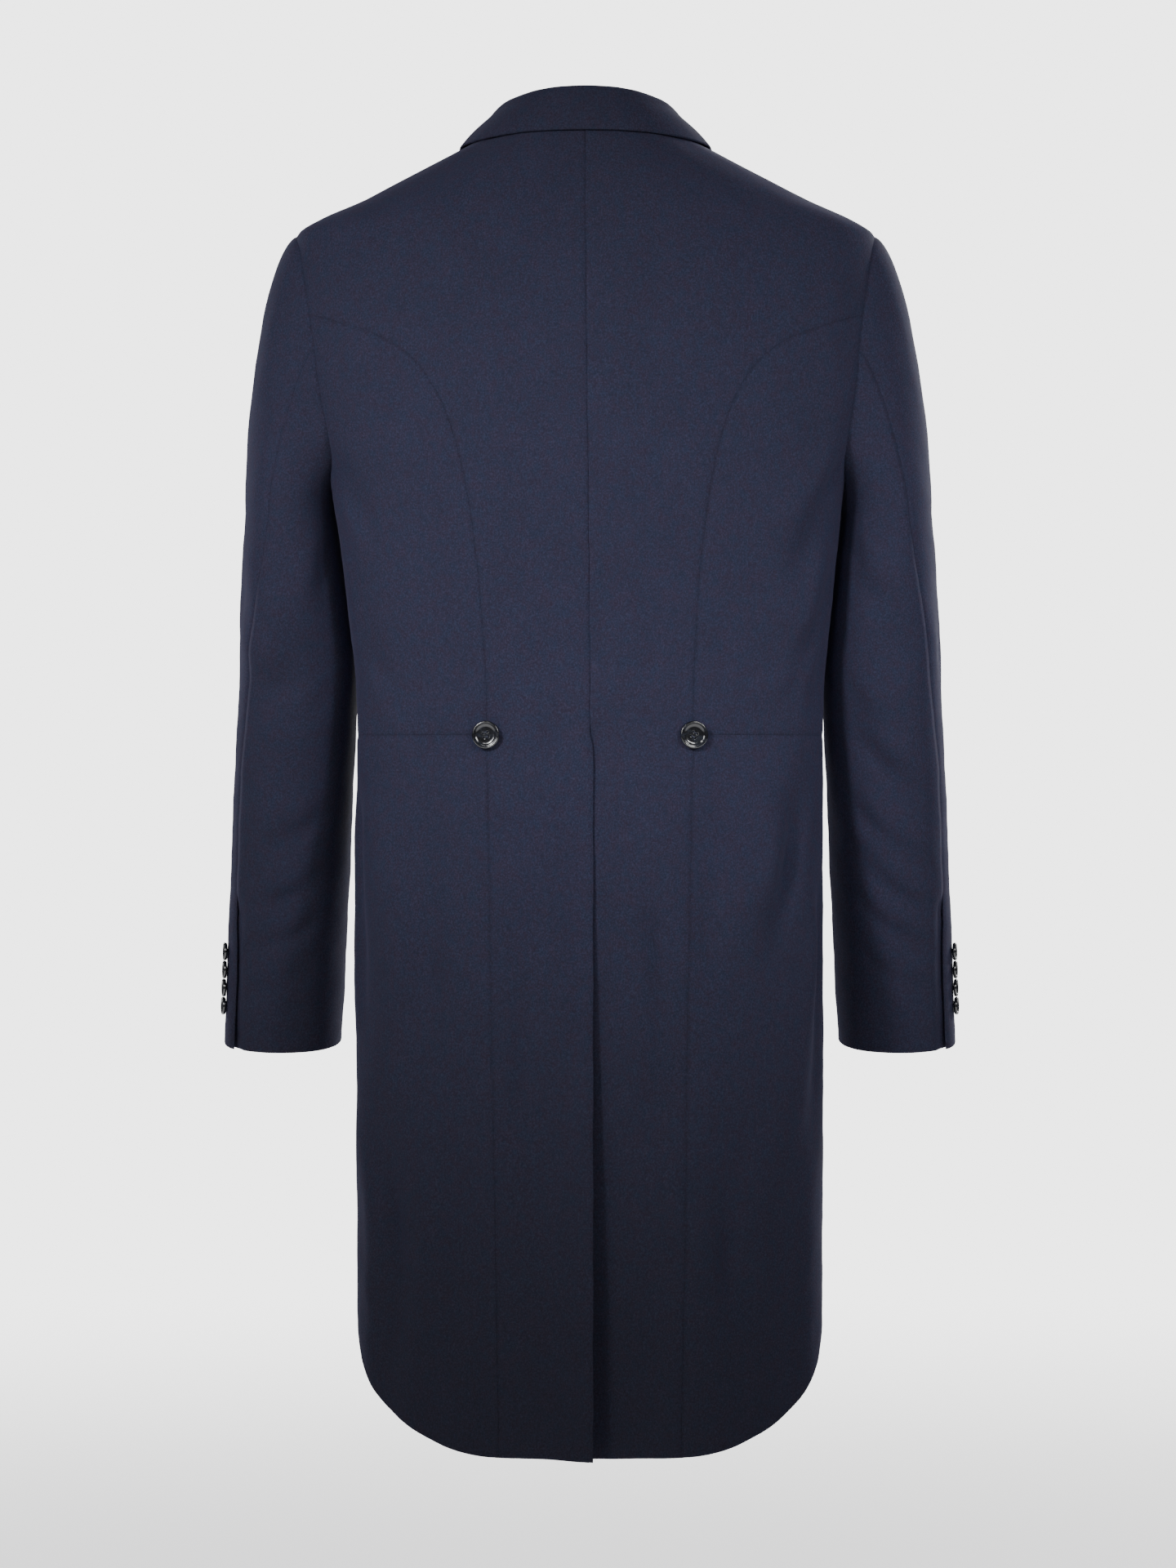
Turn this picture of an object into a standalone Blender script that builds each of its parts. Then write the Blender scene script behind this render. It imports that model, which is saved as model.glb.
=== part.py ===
"""A navy morning coat in its worn, hollow form, cut and sewn from wool cloth.

The wearer would face -Y, and +X is the wearer's left. The origin is the middle of the neck opening,
level with the points where the shoulder seams meet the collar. Sizes below are in millimetres and
angles in degrees, and the meshes are made in metres.

A "level" is a height on the body, from 0 at the neck points down. A "turn" is how far round the body
a point is: 0 at the centre back, 90 at the side and 180 at the centre front. Each piece is worked out
for the wearer's left and mirrored for the right.
"""

import math

import bpy
from mathutils import Vector

MM = 0.001
SEAM_GAP = 0.3
HALF_GAP = SEAM_GAP / 2

# Cloth walls, and the air between layers that lie on each other
CLOTH = 2.0
LAPEL_CLOTH = 2.0
COLLAR_CLOTH = 1.8
LAYER_GAP = 0.7

# The coat's main sizes
NECK_HALF_WIDTH = 78.0
SHOULDER_HALF_WIDTH = 231.5
SHOULDER_LEVEL = -79.5
SHOULDER_SLOPE = SHOULDER_LEVEL / (NECK_HALF_WIDTH - SHOULDER_HALF_WIDTH)
WAIST_LEVEL = -479.0
HEM_LEVEL = -1047.0
UNDERARM_TURN = 102.0
UNDERARM_BEND = 3.0
RIDGE_GAP_TURN = 0.12

# Level, half width, depth of the widest line, back, front, squareness of the back, lift of the nape
TORSO = (
    (0, 78.0, 0, 62, -60, 2.0, 8),
    (-12, 101.2, 0, 71, -70, 2.0, 7),
    (-31, 137.9, 1, 80, -82, 2.1, 5),
    (-52, 178.4, 3, 89, -93, 2.2, 3),
    (SHOULDER_LEVEL, SHOULDER_HALF_WIDTH, 5, 97, -105, 2.3, 1),
    (-102, 235.5, 7, 103, -112, 2.4, 0),
    (-148, 233.0, 9, 110, -124, 2.5, 0),
    (-200, 228.0, 11, 113, -133, 2.5, 0),
    (-245, 216.5, 12, 112, -138, 2.5, 0),
    (-282, 204.5, 12, 109, -139, 2.5, 0),
    (-335, 198.0, 12, 101, -136, 2.4, 0),
    (-379, 193.4, 11, 94, -132, 2.4, 0),
    (-433, 187.7, 8, 88, -128, 2.3, 0),
    (-479, 186.4, 6, 86, -126, 2.3, 0),
    (-540, 186.4, 4, 92, -124, 2.3, 0),
    (-620, 186.4, 4, 101, -118, 2.4, 0),
    (-720, 186.4, 5, 106, -108, 2.4, 0),
    (-850, 185.4, 6, 106, -98, 2.4, 0),
    (-950, 184.6, 8, 104, -92, 2.4, 0),
    (-1060, 184.2, 8, 102, -90, 2.4, 0),
)
FRONT_SQUARENESS = 2.0

# How far apart the points are from which a surface's normal is worked out: turn, level, angle, share
NORMAL_TURN = 0.6
NORMAL_LEVEL = 1.5
NORMAL_ANGLE = 1.5
NORMAL_SHARE = 0.02

# The coat hangs a little towards the wearer's right: how far, and the level from which it is all there
LEAN = -3.6
LEAN_LEVEL = -480.0

# Soft folds that hang from the waist: turn, spread, height out, levels where it begins and is full
DRAPE = (
    (13, 9, -2.4, -700, -980),
    (32, 10, 2.2, -740, -1000),
    (60, 13, -2.4, -680, -960),
    (86, 12, 1.2, -620, -900),
    (110, 14, -2.0, -580, -800),
    (138, 12, 1.6, -540, -680),
)

# Armhole seam: angle about the arm (0 at the back, 90 at the shoulder, -90 under the arm), turn, level
ARMHOLE = (
    (-120, 113.0, -268),
    (-90, 97.0, -282),
    (-60, 79.0, -268),
    (-30, 70.3, -231),
    (0, 69.0, -179),
    (30, 71.5, -127),
    (60, 76.2, -93),
    (90, 90.0, SHOULDER_LEVEL),
    (120, 101.0, -93),
    (150, 114.0, -127),
    (180, 121.0, -179),
    (210, 120.5, -231),
    (240, 113.0, -268),
    (270, 97.0, -282),
)
ARMHOLE_START = -120
SHOULDER_CORNER = 90
BACK_CORNER = 17.5
HIND_CORNER = 2
UNDERARM_CORNER = -98
FORE_CORNER = -145
UNDER_ANGLES = (-145, -132, -115, -98, -82, -62, -42, -20, 2)
TOP_ANGLES = (2, 17.5, 33, 50, 70, 90, 110, 130, 150, 172, 194, 215)

# Curved back seam from the armhole to the waist, and on down the tail: distance from the centre back, level
BACK_SEAM = (
    (188.0, -157),
    (160.0, -168),
    (138.6, -183),
    (121.0, -206),
    (108.0, -234),
    (98.7, -271),
    (92.0, -308),
    (87.6, -346),
    (83.8, -396),
    (81.8, -440),
    (81.4, -479),
)
TAIL_SEAM = (
    (80.6, -520),
    (79.2, -580),
    (77.8, -650),
    (76.2, -735),
    (74.9, -820),
    (73.6, -905),
    (72.6, -970),
    (72.0, -1015),
    (71.8, HEM_LEVEL),
)
# Level of the centre back opposite each row of the back panel, and how far the top rows follow the shoulder
CENTRE_BACK = (0, -7, -22, -48, -82, -106, -130, -155, -184, -220, -260, -300, -342, -392, -438, -479)
SHOULDER_FOLLOWED = (1.0, 0.85, 0.55, 0.25, 0.08)
BACK_COLUMNS = (0, 0.08, 0.16, 0.23, 0.29, 0.32, 0.341, 0.43, 0.54, 0.66, 0.78, 0.9, 1.0)
NECK_COLUMNS = BACK_COLUMNS[:7]
SHOULDER_COLUMNS = BACK_COLUMNS[6:]
TAIL_LAP = 2.5
TAIL_UNDERLAP = (36.0, 22.0, 9.0)

# The left tail stands off at the vent, over this width, from this level, over this length
TAIL_LIFT = 2.6
TAIL_LIFT_WIDTH = 26.0
TAIL_LIFT_TOP = -539.0
TAIL_LIFT_LENGTH = 480.0
# The right tail is sunk under it, out to this distance, over this width, from this level, over this length
TAIL_SUNK_REACH = 20.0
TAIL_SUNK_WIDTH = 15.0
TAIL_SUNK_TOP = -461.0
TAIL_SUNK_LENGTH = 22.0

# Neck edge and lapel roll line of the front: distance from the centre front (below 0 past it), level
ROLL_LINE = (
    (78.0, 0),
    (78.0, -2),
    (77.3, -6),
    (76.0, -13),
    (73.6, -24),
    (70.5, -38),
    (66.5, -57),
    (60.2, -90),
    (53.5, -130),
    (45.5, -172),
    (36.5, -215),
    (27.5, -258),
    (18.0, -302),
    (8.5, -345),
    (-1.5, -388),
    (-12.5, -428),
    (-18.5, -452),
    (-20.0, WAIST_LEVEL),
)
NECK_LEVELS = (0, -2, -6, -13, -24, -38, -57)

# The right front is sunk under the left one: reach from the centre front, width, then top and bottom
FRONT_SUNK_REACH = 112.0
FRONT_SUNK_WIDTH = 88.0
FRONT_SUNK_TOP = -225.0
FRONT_SUNK_TOP_LENGTH = 150.0
FRONT_SUNK_FOOT = -640.0
FRONT_SUNK_FOOT_LENGTH = 125.0

# Front edge of the skirt from the waist seam round to the tail hem, then the hem: turn, level
CUTAWAY = (
    (186.1, WAIST_LEVEL),
    (180.5, -490),
    (171.0, -516),
    (158.0, -562),
    (145.0, -622),
    (132.0, -694),
    (120.0, -770),
    (108.0, -848),
    (98.0, -906),
    (90.0, -940),
    (84.0, -957),
    (79.0, -975),
)
TAIL_HEM = (
    (22.7, HEM_LEVEL),
    (30.0, -1043),
    (37.5, -1037.5),
    (45.0, -1030),
    (52.0, -1022),
    (59.0, -1013),
    (66.0, -1002.5),
    (73.0, -989),
    (79.0, -975),
)
SKIRT_COLUMNS = 13
MM_PER_TURN = 2.9

# Points well inside a panel, towards which its seam lines are drawn in by half a gap: turn, level
SIDE_BODY_MIDDLE = (72.0, -370.0)
FRONT_MIDDLE = (150.0, -330.0)
SKIRT_MIDDLE = (85.0, -700.0)

# Sleeve rings: level, centre x, half width, centre y, half depth, tilt, angle of the hind seam
SLEEVE = (
    (-300, 239.2, 37.0, -22, 73.0, 0.05, 20),
    (-359, 237.6, 43.0, -27, 70.0, 0.08, 34),
    (-425, 235.8, 48.2, -36, 66.0, 0.12, 47),
    (-491, 239.2, 48.6, -48, 61.0, 0.16, 55),
    (-557, 242.6, 48.5, -60, 57.0, 0.18, 58),
    (-624, 246.0, 48.3, -72, 53.5, 0.18, 57),
    (-691, 249.5, 48.0, -83, 50.5, 0.17, 55),
    (-728, 251.4, 47.6, -89, 49.0, 0.16, 53),
)
SLEEVE_SQUARENESS = 2.2
SLEEVE_LEVELS = (-300, -335, -375, -415, -455, -500, -545, -585, -620, -655, -695, -728)
CAP_SHARES = (0.0, 0.04, 0.12, 0.24, 0.4, 0.58, 0.78)
RING_GAP_TURN = 0.18
# How the sleeve head leaves the armhole at the shoulder, under the arm, behind and in front of it
CAP_LEAVES = (
    Vector((84.8, 0.0, -42.8)),
    Vector((6.0, 0.0, -19.0)),
    Vector((48.4, -18.6, -34.1)),
    Vector((49.6, 19.8, -31.0)),
)
# The way in which it comes down to the first ring, and how strongly at the same four places
CAP_HANG = Vector((-0.02, -0.06, -1.0))
CAP_PULLS = (200.0, 14.0, 75.0, 75.0)

# Cuff vent: its top, the underlap's columns past the seam, and the top sleeve's lap over it, in degrees
CUFF_VENT_TOP = -620
CUFF_UNDERLAP = (9.0, 18.0, 27.0)
CUFF_LAP = 3.0
CUFF_LAP_START = 4.0
CUFF_LAP_LENGTH = 20.0
# The under sleeve is sunk beside the vent: reach and width in degrees, then height above its top and length
CUFF_SUNK_REACH = 18.0
CUFF_SUNK_WIDTH = 13.0
CUFF_SUNK_RISE = 26.0
CUFF_SUNK_LENGTH = 24.0
# The top sleeve stands off there, by little at first and by more at the cuff
CUFF_OFF_WIDTH = 26.0
CUFF_OFF_LENGTH = 40.0
CUFF_OFF = 0.4
CUFF_OFF_FOOT = 2.4
CUFF_FLARE_TOP = -690.0
CUFF_FLARE_LENGTH = 38.0

# Collar round the back neck: fold centre x, y, z, then the leaf's edge: x, level
COLLAR_BACK = (
    (0.0, 57.0, 31.6, 0.0, -10.0),
    (18.8, 54.2, 31.2, 24.0, -10.0),
    (36.5, 45.5, 29.8, 46.0, -10.0),
    (51.0, 33.5, 27.0, 64.0, -10.6),
    (61.5, 20.0, 24.2, 78.0, -11.2),
    (67.0, 8.0, 21.0, 88.5, -11.8),
    (71.4, -6.0, 16.8, 98.8, -11.8),
)
# Collar down the front: fold centre from the neck edge x, y, z, then the leaf's edge: x, level
COLLAR_FRONT = (
    (-3.8, -3.0, 12.6, 101.5, -13.8),
    (-2.6, -3.4, 10.8, 103.6, -18.6),
    (-1.6, -3.6, 8.8, 106.5, -27.0),
    (-0.8, -3.8, 7.0, 110.0, -40.0),
    (-0.2, -4.0, 5.4, 121.0, -58.5),
    (0.0, -3.6, 3.4, 103.0, -73.0),
)
FOLD_RADIUS = 3.2
FOLD_STEPS = 5
LEAF_SHARES = (0.2, 0.46, 0.74, 1.0)
LEAF_BULGE = 1.6
LEAF_STAND_OFF = 0.6
LEAF_RISE = 0.35
LEAF_OUT = LAYER_GAP + COLLAR_CLOTH
NECK_SEAM_RISE = 0.45

# Lapel: gorge seam by the collar's end, then its outline from the peak to the button: centre front, level
GORGE = ((66.2, -57.7), (102.6, -73.7))
LAPEL_EDGE = (
    (149.0, -64),
    (148.0, -73),
    (146.0, -84),
    (143.5, -97),
    (138.5, -116),
    (129.5, -148),
    (118.0, -184),
    (103.5, -223),
    (86.5, -264),
    (67.0, -306),
    (45.5, -348),
    (23.0, -388),
    (2.0, -421),
    (-13.0, -439),
)
LAPEL_FOOT = -444.0
GORGE_COLUMNS = (0.0, 0.06, 0.16, 0.3, 0.44)
LAPEL_COLUMNS = GORGE_COLUMNS + (0.62, 0.81, 1.0)
LAPEL_OUT = LAYER_GAP + LAPEL_CLOTH
LAPEL_STAND_OFF = 0.7
# The soft roll beside the roll line: height, place and width across the lapel, and where it dies away
LAPEL_ROLL = 2.4
LAPEL_ROLL_SHARE = 0.16
LAPEL_ROLL_WIDTH = 0.4
LAPEL_ROLL_FOOT = -400.0
LAPEL_ROLL_FADE = 160.0

# Buttons: radius, thickness, sides
BACK_BUTTON = (11.0, 3.4, 20)
FRONT_BUTTON = (10.0, 3.2, 20)
CUFF_BUTTON = (7.3, 2.8, 14)
CUFF_BUTTONS = 4
CUFF_BUTTON_TOP = -652.0
CUFF_BUTTON_PITCH = 14.8
CUFF_BUTTON_ANGLE = 22.0
CUFF_BUTTON_SPAN = (4.0, 20.0)
FRONT_BUTTON_LEVEL = -458.0
BUTTON_STEM = 2.2
BUTTON_STAND = 0.9
BUTTON_DISH = 0.9
# The rim's shape, as shares of the radius or the thickness
DISH_SHARE = 0.5
RIM_SHARE = 0.74
RIM_EDGE_SHARE = 0.93
RIM_EDGE_DROP = 0.15
BELLY_SHARE = 0.55
FOOT_SHARE = 0.9

NAVY = (0.030, 0.033, 0.066, 1.0)
NAVY_ROUGHNESS = 0.85
HORN = (0.014, 0.015, 0.022, 1.0)
HORN_ROUGHNESS = 0.25
SHARP_EDGE = math.radians(50)
MERGE = 0.00001


def ease(t):
    """0 up to 0, 1 from 1 on, and a smooth rise between."""
    t = max(0.0, min(1.0, t))
    return t * t * (3 - 2 * t)


def lerp(a, b, t):
    return a + (b - a) * t


def slopes(xs, ys):
    """Slopes for a curve through the points that never swings past them."""
    steps = [(y1 - y0) / (x1 - x0) for x0, x1, y0, y1 in zip(xs, xs[1:], ys, ys[1:])]
    inner = [0.0 if a * b <= 0 else 2 * a * b / (a + b) for a, b in zip(steps, steps[1:])]
    return [steps[0]] + inner + [steps[-1]]


def table_curve(table, key=0):
    """A function of one column of a table that gives its other columns, smoothly."""
    rows = sorted(table, key=lambda row: row[key])
    xs = [row[key] for row in rows]
    others = [k for k in range(len(rows[0])) if k != key]
    columns = [([row[k] for row in rows], slopes(xs, [row[k] for row in rows])) for k in others]

    def at(x):
        x = max(xs[0], min(xs[-1], x))
        i = max(k for k in range(len(xs) - 1) if k == 0 or xs[k] <= x)
        h = xs[i + 1] - xs[i]
        t = (x - xs[i]) / h
        first, first_slope = (1 + 2 * t) * (1 - t) ** 2, t * (1 - t) ** 2 * h
        last, last_slope = t * t * (3 - 2 * t), t * t * (t - 1) * h
        return [
            first * ys[i] + first_slope * m[i] + last * ys[i + 1] + last_slope * m[i + 1]
            for ys, m in columns
        ]

    return at


torso_section = table_curve(TORSO)
armhole_curve = table_curve(ARMHOLE)
sleeve_section = table_curve(SLEEVE)
roll_line = table_curve(ROLL_LINE, key=1)


def armhole_at(angle):
    """Turn and level of the armhole seam at this angle about the arm."""
    return tuple(armhole_curve((angle - ARMHOLE_START) % 360 + ARMHOLE_START))


def smooth_torso(turn, level):
    """A point on the body of the coat, before its soft folds."""
    half, widest, back, front, back_squareness, lift = torso_section(level)
    across = math.sin(math.radians(turn))
    behind = math.cos(math.radians(turn)) > 0
    square = back_squareness if behind else FRONT_SQUARENESS
    depth = max(0.0, 1 - abs(across) ** square) ** (1 / square)
    y = widest + ((back if behind else front) - widest) * depth
    return Vector((half * across, y, level + (lift * depth if behind else 0)))


def torso_normal(turn, level):
    round_body = smooth_torso(turn + NORMAL_TURN, level) - smooth_torso(turn - NORMAL_TURN, level)
    down = smooth_torso(turn, level - NORMAL_LEVEL) - smooth_torso(turn, min(level + NORMAL_LEVEL, 0))
    return round_body.cross(down).normalized()


def drape(turn, level):
    """How far the soft folds below the waist stand out here."""
    total = 0.0
    for centre, spread, height, begins, full in DRAPE:
        near = max(0.0, 1 - abs(abs(turn) - centre) / spread)
        total += height * ease(near) * ease((begins - level) / (begins - full))
    return total


def torso_point(turn, level, out=0.0):
    """A point on the body of the coat, or that far out from it along its normal."""
    return smooth_torso(turn, level) + torso_normal(turn, level) * (out + drape(turn, level))


def turn_at(x, level, front=False):
    """The turn of the point that lies x from the centre line, on the back or on the front."""
    half = torso_section(level)[0]
    turn = math.degrees(math.asin(max(-1.0, min(1.0, x / half))))
    return 180 - turn if front else turn


def finish(name, colour, roughness):
    material = bpy.data.materials.new(name)
    material.use_nodes = True
    shader = material.node_tree.nodes["Principled BSDF"]
    shader.inputs["Base Color"].default_value = colour
    shader.inputs["Roughness"].default_value = roughness
    shader.inputs["Metallic"].default_value = 0.0
    return material


def add_object(name, mesh, material):
    mesh.materials.append(material)
    obj = bpy.data.objects.new(name, mesh)
    coat.objects.link(obj)
    return obj


def named(piece, side):
    return piece + ("_left" if side > 0 else "_right")


def hung(point, side):
    """A point of the wearer's left side, put on the side it is made for as the coat hangs, in metres."""
    return Vector((side * point.x + LEAN * ease(point.z / LEAN_LEVEL), point.y, point.z)) * MM


def cloth(name, outer, inner, side=1, kept=None):
    """A closed wall of cloth between two grids of points, each in rows from the top down.

    The rows run round from the back to the front. Without kept, every cell of the grid is cloth.
    """
    width = len(outer[0])
    points = [hung(p, side) for grid in (outer, inner) for row in grid for p in row]
    underside = len(points) // 2
    top_faces = []
    for i in range(len(outer) - 1):
        for j in range(width - 1):
            if kept is None or kept(i, j):
                a = i * width + j
                b = a + width
                pair = ((a, a + 1, b + 1), (a, b + 1, b))
                top_faces += pair if side > 0 else [face[::-1] for face in pair]
    edges = {(face[k], face[(k + 1) % 3]) for face in top_faces for k in range(3)}
    faces = top_faces + [tuple(k + underside for k in face[::-1]) for face in top_faces]
    for a, b in sorted(edges):
        if (b, a) not in edges:
            faces += [(b, a, a + underside), (b, a + underside, b + underside)]
    used = sorted({k for face in faces for k in face})
    place = {k: n for n, k in enumerate(used)}
    mesh = bpy.data.meshes.new(name)
    mesh.from_pydata([points[k] for k in used], [], [[place[k] for k in face] for face in faces])
    mesh.shade_smooth()
    mesh.set_sharp_from_angle(angle=SHARP_EDGE)
    return add_object(name, mesh, finish(name + " wool", NAVY, NAVY_ROUGHNESS))


def torso_wall(name, rows, wall, side, kept=None):
    """A wall on the body from rows of (turn, level, out), where out is the place of its outer face."""
    outer = [[torso_point(turn, level, out) for turn, level, out in row] for row in rows]
    inner = [[torso_point(turn, level, out - wall) for turn, level, out in row] for row in rows]
    return cloth(name, outer, inner, side, kept)


def filled(top, bottom, left, right):
    """Rows of (turn, level) that fill the space between four seam lines with shared corners."""
    rows = []
    for i, (l, r) in enumerate(zip(left, right)):
        v = i / (len(left) - 1)
        row = []
        for j, (t, b) in enumerate(zip(top, bottom)):
            u = j / (len(top) - 1)
            point = []
            for k in (0, 1):
                corners = lerp(lerp(top[0][k], top[-1][k], u), lerp(bottom[0][k], bottom[-1][k], u), v)
                point.append(lerp(l[k], r[k], u) + lerp(t[k], b[k], v) - corners)
            row.append(point)
        rows.append(row)
    return rows


def drawn_in(line, middle):
    """A seam line of (turn, level) moved half a gap over the cloth towards a point inside its panel."""
    moved = []
    for turn, level in line:
        way = Vector(((middle[0] - turn) * MM_PER_TURN, middle[1] - level)).normalized() * HALF_GAP
        moved.append((turn + way.x / MM_PER_TURN, level + way.y))
    return moved


def along(line, share):
    """The point at that share of a line's length, for a line of (turn, level)."""
    lengths = [0.0]
    for a, b in zip(line, line[1:]):
        lengths.append(lengths[-1] + math.hypot((b[0] - a[0]) * MM_PER_TURN, b[1] - a[1]))
    return tuple(table_curve([(s, *p) for s, p in zip(lengths, line)])(share * lengths[-1]))


def vent_out(side, x, level):
    """The left tail stands a little off at the vent, and the right one passes under it."""
    if side > 0:
        grown = ease((TAIL_LIFT_TOP - level) / TAIL_LIFT_LENGTH)
        return TAIL_LIFT * ease((TAIL_LIFT_WIDTH - x) / TAIL_LIFT_WIDTH) * grown
    grown = ease((TAIL_SUNK_TOP - level) / TAIL_SUNK_LENGTH)
    return -(CLOTH + LAYER_GAP) * ease((TAIL_SUNK_REACH - x) / TAIL_SUNK_WIDTH) * grown


def front_out(side, x, level):
    """The right front passes under the left one where they lap at the waist."""
    if side > 0:
        return 0.0
    layers = CLOTH + LAPEL_CLOTH + 2 * LAYER_GAP + SEAM_GAP
    near = ease((FRONT_SUNK_REACH - x) / FRONT_SUNK_WIDTH)
    below = ease((FRONT_SUNK_TOP - level) / FRONT_SUNK_TOP_LENGTH)
    above = ease((level - FRONT_SUNK_FOOT) / FRONT_SUNK_FOOT_LENGTH)
    return -layers * near * below * above


def back(side):
    """Half of the back, cut in one with its tail. The left tail laps over the right one at the vent."""
    shoulder = [armhole_at(a) for a in TOP_ANGLES[::-1] if BACK_CORNER <= a <= SHOULDER_CORNER]
    edge = [(torso_section(level)[0] * math.sin(math.radians(turn)), level) for turn, level in shoulder]
    edge += BACK_SEAM + TAIL_SEAM
    centre = CENTRE_BACK + tuple(level for _, level in TAIL_SEAM)
    waist_row = len(CENTRE_BACK) - 1
    rows = []
    for i, ((edge_x, edge_level), centre_level) in enumerate(zip(edge, centre)):
        start = -TAIL_LAP if side > 0 and i > waist_row else HALF_GAP
        row = []
        for share in BACK_COLUMNS:
            x = lerp(start, edge_x - HALF_GAP, share)
            level = lerp(centre_level, edge_level, share)
            if i < len(SHOULDER_FOLLOWED):
                line = min(0.0, (NECK_HALF_WIDTH - share * SHOULDER_HALF_WIDTH) * SHOULDER_SLOPE)
                level += SHOULDER_FOLLOWED[i] * (line - share * SHOULDER_LEVEL)
            turn = 90 - RIDGE_GAP_TURN if i == 0 and share in SHOULDER_COLUMNS else turn_at(x, level)
            row.append((turn, level, vent_out(side, x, level)))
        if side < 0:
            sunk = -(CLOTH + LAYER_GAP)
            row = [(turn_at(-reach, centre_level), centre_level, sunk) for reach in TAIL_UNDERLAP] + row
        rows.append(row)
    laps = len(TAIL_UNDERLAP) if side < 0 else 0
    torso_wall(named("back", side), rows, CLOTH, side, lambda i, j: j >= laps or i > waist_row)


def underarm_seam():
    """The seam between the side body and the front, from the armhole to the waist."""
    top = armhole_at(UNDERARM_CORNER)
    count = len(BACK_SEAM)
    line = []
    for i in range(count + 1):
        turn = lerp(top[0], UNDERARM_TURN, ease(i / UNDERARM_BEND))
        line.append((turn, lerp(top[1], WAIST_LEVEL, i / count)))
    return line


def side_body(side):
    """The panel under the arm, between the curved back seam and the underarm seam, down to the waist."""
    top = [armhole_at(BACK_CORNER)] + [armhole_at(a) for a in UNDER_ANGLES[::-1] if a >= UNDERARM_CORNER]
    left = [top[0]] + [(turn_at(x, level), level) for x, level in BACK_SEAM]
    right = underarm_seam()
    steps = len(top) - 1
    bottom = [(lerp(left[-1][0], right[-1][0], j / steps), WAIST_LEVEL) for j in range(steps + 1)]
    lines = [drawn_in(line, SIDE_BODY_MIDDLE) for line in (top, bottom, left, right)]
    rows = [[(*point, 0.0) for point in row] for row in filled(*lines)]
    torso_wall(named("side_body", side), rows, CLOTH, side)


def front(side):
    """The front panel, from the shoulder to the waist. Its free edge is the neck edge and the roll line."""
    armhole = [armhole_at(a) for a in TOP_ANGLES if a >= SHOULDER_CORNER]
    armhole += [armhole_at(a) for a in UNDER_ANGLES if FORE_CORNER < a <= UNDERARM_CORNER]
    outer = drawn_in(armhole + underarm_seam()[1:], FRONT_MIDDLE)
    outer[0] = (90 + RIDGE_GAP_TURN, SHOULDER_LEVEL)
    outer[-1] = (outer[-1][0], WAIST_LEVEL + HALF_GAP)
    below = len(outer) - len(NECK_LEVELS)
    levels = [lerp(NECK_LEVELS[-1], outer[-1][1], (i + 1) / below) for i in range(below)]
    first, last = SHOULDER_COLUMNS[0], SHOULDER_COLUMNS[-1]
    shares = [(column - first) / (last - first) for column in SHOULDER_COLUMNS]
    shares = sorted(shares + [(a + b) / 2 for a, b in zip(shares, shares[1:])], reverse=True)
    rows = []
    for i, ((turn, level), roll_level) in enumerate(zip(outer, list(NECK_LEVELS) + levels)):
        outer_x = torso_section(level)[0] * math.sin(math.radians(turn))
        roll_x = roll_line(roll_level)[0]
        row = [(turn, level, 0.0)]
        for share in shares[1:]:
            x, here = lerp(roll_x, outer_x, share), lerp(roll_level, level, share)
            round_body = turn_at(x, here, True) if i else 90 + RIDGE_GAP_TURN
            row.append((round_body, here, front_out(side, x, here)))
        rows.append(row)
    torso_wall(named("front", side), rows, CLOTH, side)


def skirt(side):
    """The skirt, hung from the waist seam: tail seam at the back, cut away in a long curve at the front."""
    left = [(turn_at(x, level), level) for x, level in BACK_SEAM[-1:] + TAIL_SEAM]
    shares = [j / (SKIRT_COLUMNS - 1) for j in range(SKIRT_COLUMNS)]
    top = [(lerp(left[0][0], CUTAWAY[0][0], share), WAIST_LEVEL) for share in shares]
    right = [along(CUTAWAY, i / (len(left) - 1)) for i in range(len(left))]
    bottom = [along(TAIL_HEM, share) for share in shares]
    left, top = drawn_in(left, SKIRT_MIDDLE), drawn_in(top, SKIRT_MIDDLE)
    top[0], right[0], bottom[0] = left[0], top[-1], left[-1]
    rows = []
    for row in filled(top, bottom, left, right):
        line = []
        for turn, level in row:
            x = torso_section(level)[0] * math.sin(math.radians(turn))
            line.append((turn, level, front_out(side, x, level) if turn > 90 else 0.0))
        rows.append(line)
    torso_wall(named("skirt", side), rows, CLOTH, side)


def lapel(side):
    """A peaked lapel, turned back on the front along the roll line, from the collar down to the button."""
    (gorge_x, gorge_level), (notch_x, notch_level) = GORGE
    rows = []
    for i, (edge_x, edge_level) in enumerate(LAPEL_EDGE):
        roll_level = lerp(gorge_level, LAPEL_FOOT, i / (len(LAPEL_EDGE) - 1))
        roll_x = roll_line(roll_level)[0]
        row = []
        for share in LAPEL_COLUMNS:
            x, level = lerp(roll_x, edge_x, share), lerp(roll_level, edge_level, share)
            if i == 0 and share <= GORGE_COLUMNS[-1]:
                part = share / GORGE_COLUMNS[-1]
                x, level = lerp(gorge_x, notch_x, part), lerp(gorge_level, notch_level, part)
            elif i == 0:
                part = (share - GORGE_COLUMNS[-1]) / (1 - GORGE_COLUMNS[-1])
                x, level = lerp(notch_x, edge_x, part), lerp(notch_level, edge_level, part)
            near = ease(1 - abs(share - LAPEL_ROLL_SHARE) / LAPEL_ROLL_WIDTH)
            roll = LAPEL_ROLL * near * ease((level - LAPEL_ROLL_FOOT) / LAPEL_ROLL_FADE)
            out = LAPEL_OUT + roll + LAPEL_STAND_OFF * share + front_out(side, x, level)
            row.append((turn_at(x, level, True), level, out))
        rows.append(row[::-1])
    torso_wall(named("lapel", side), rows, LAPEL_CLOTH, side)


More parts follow.
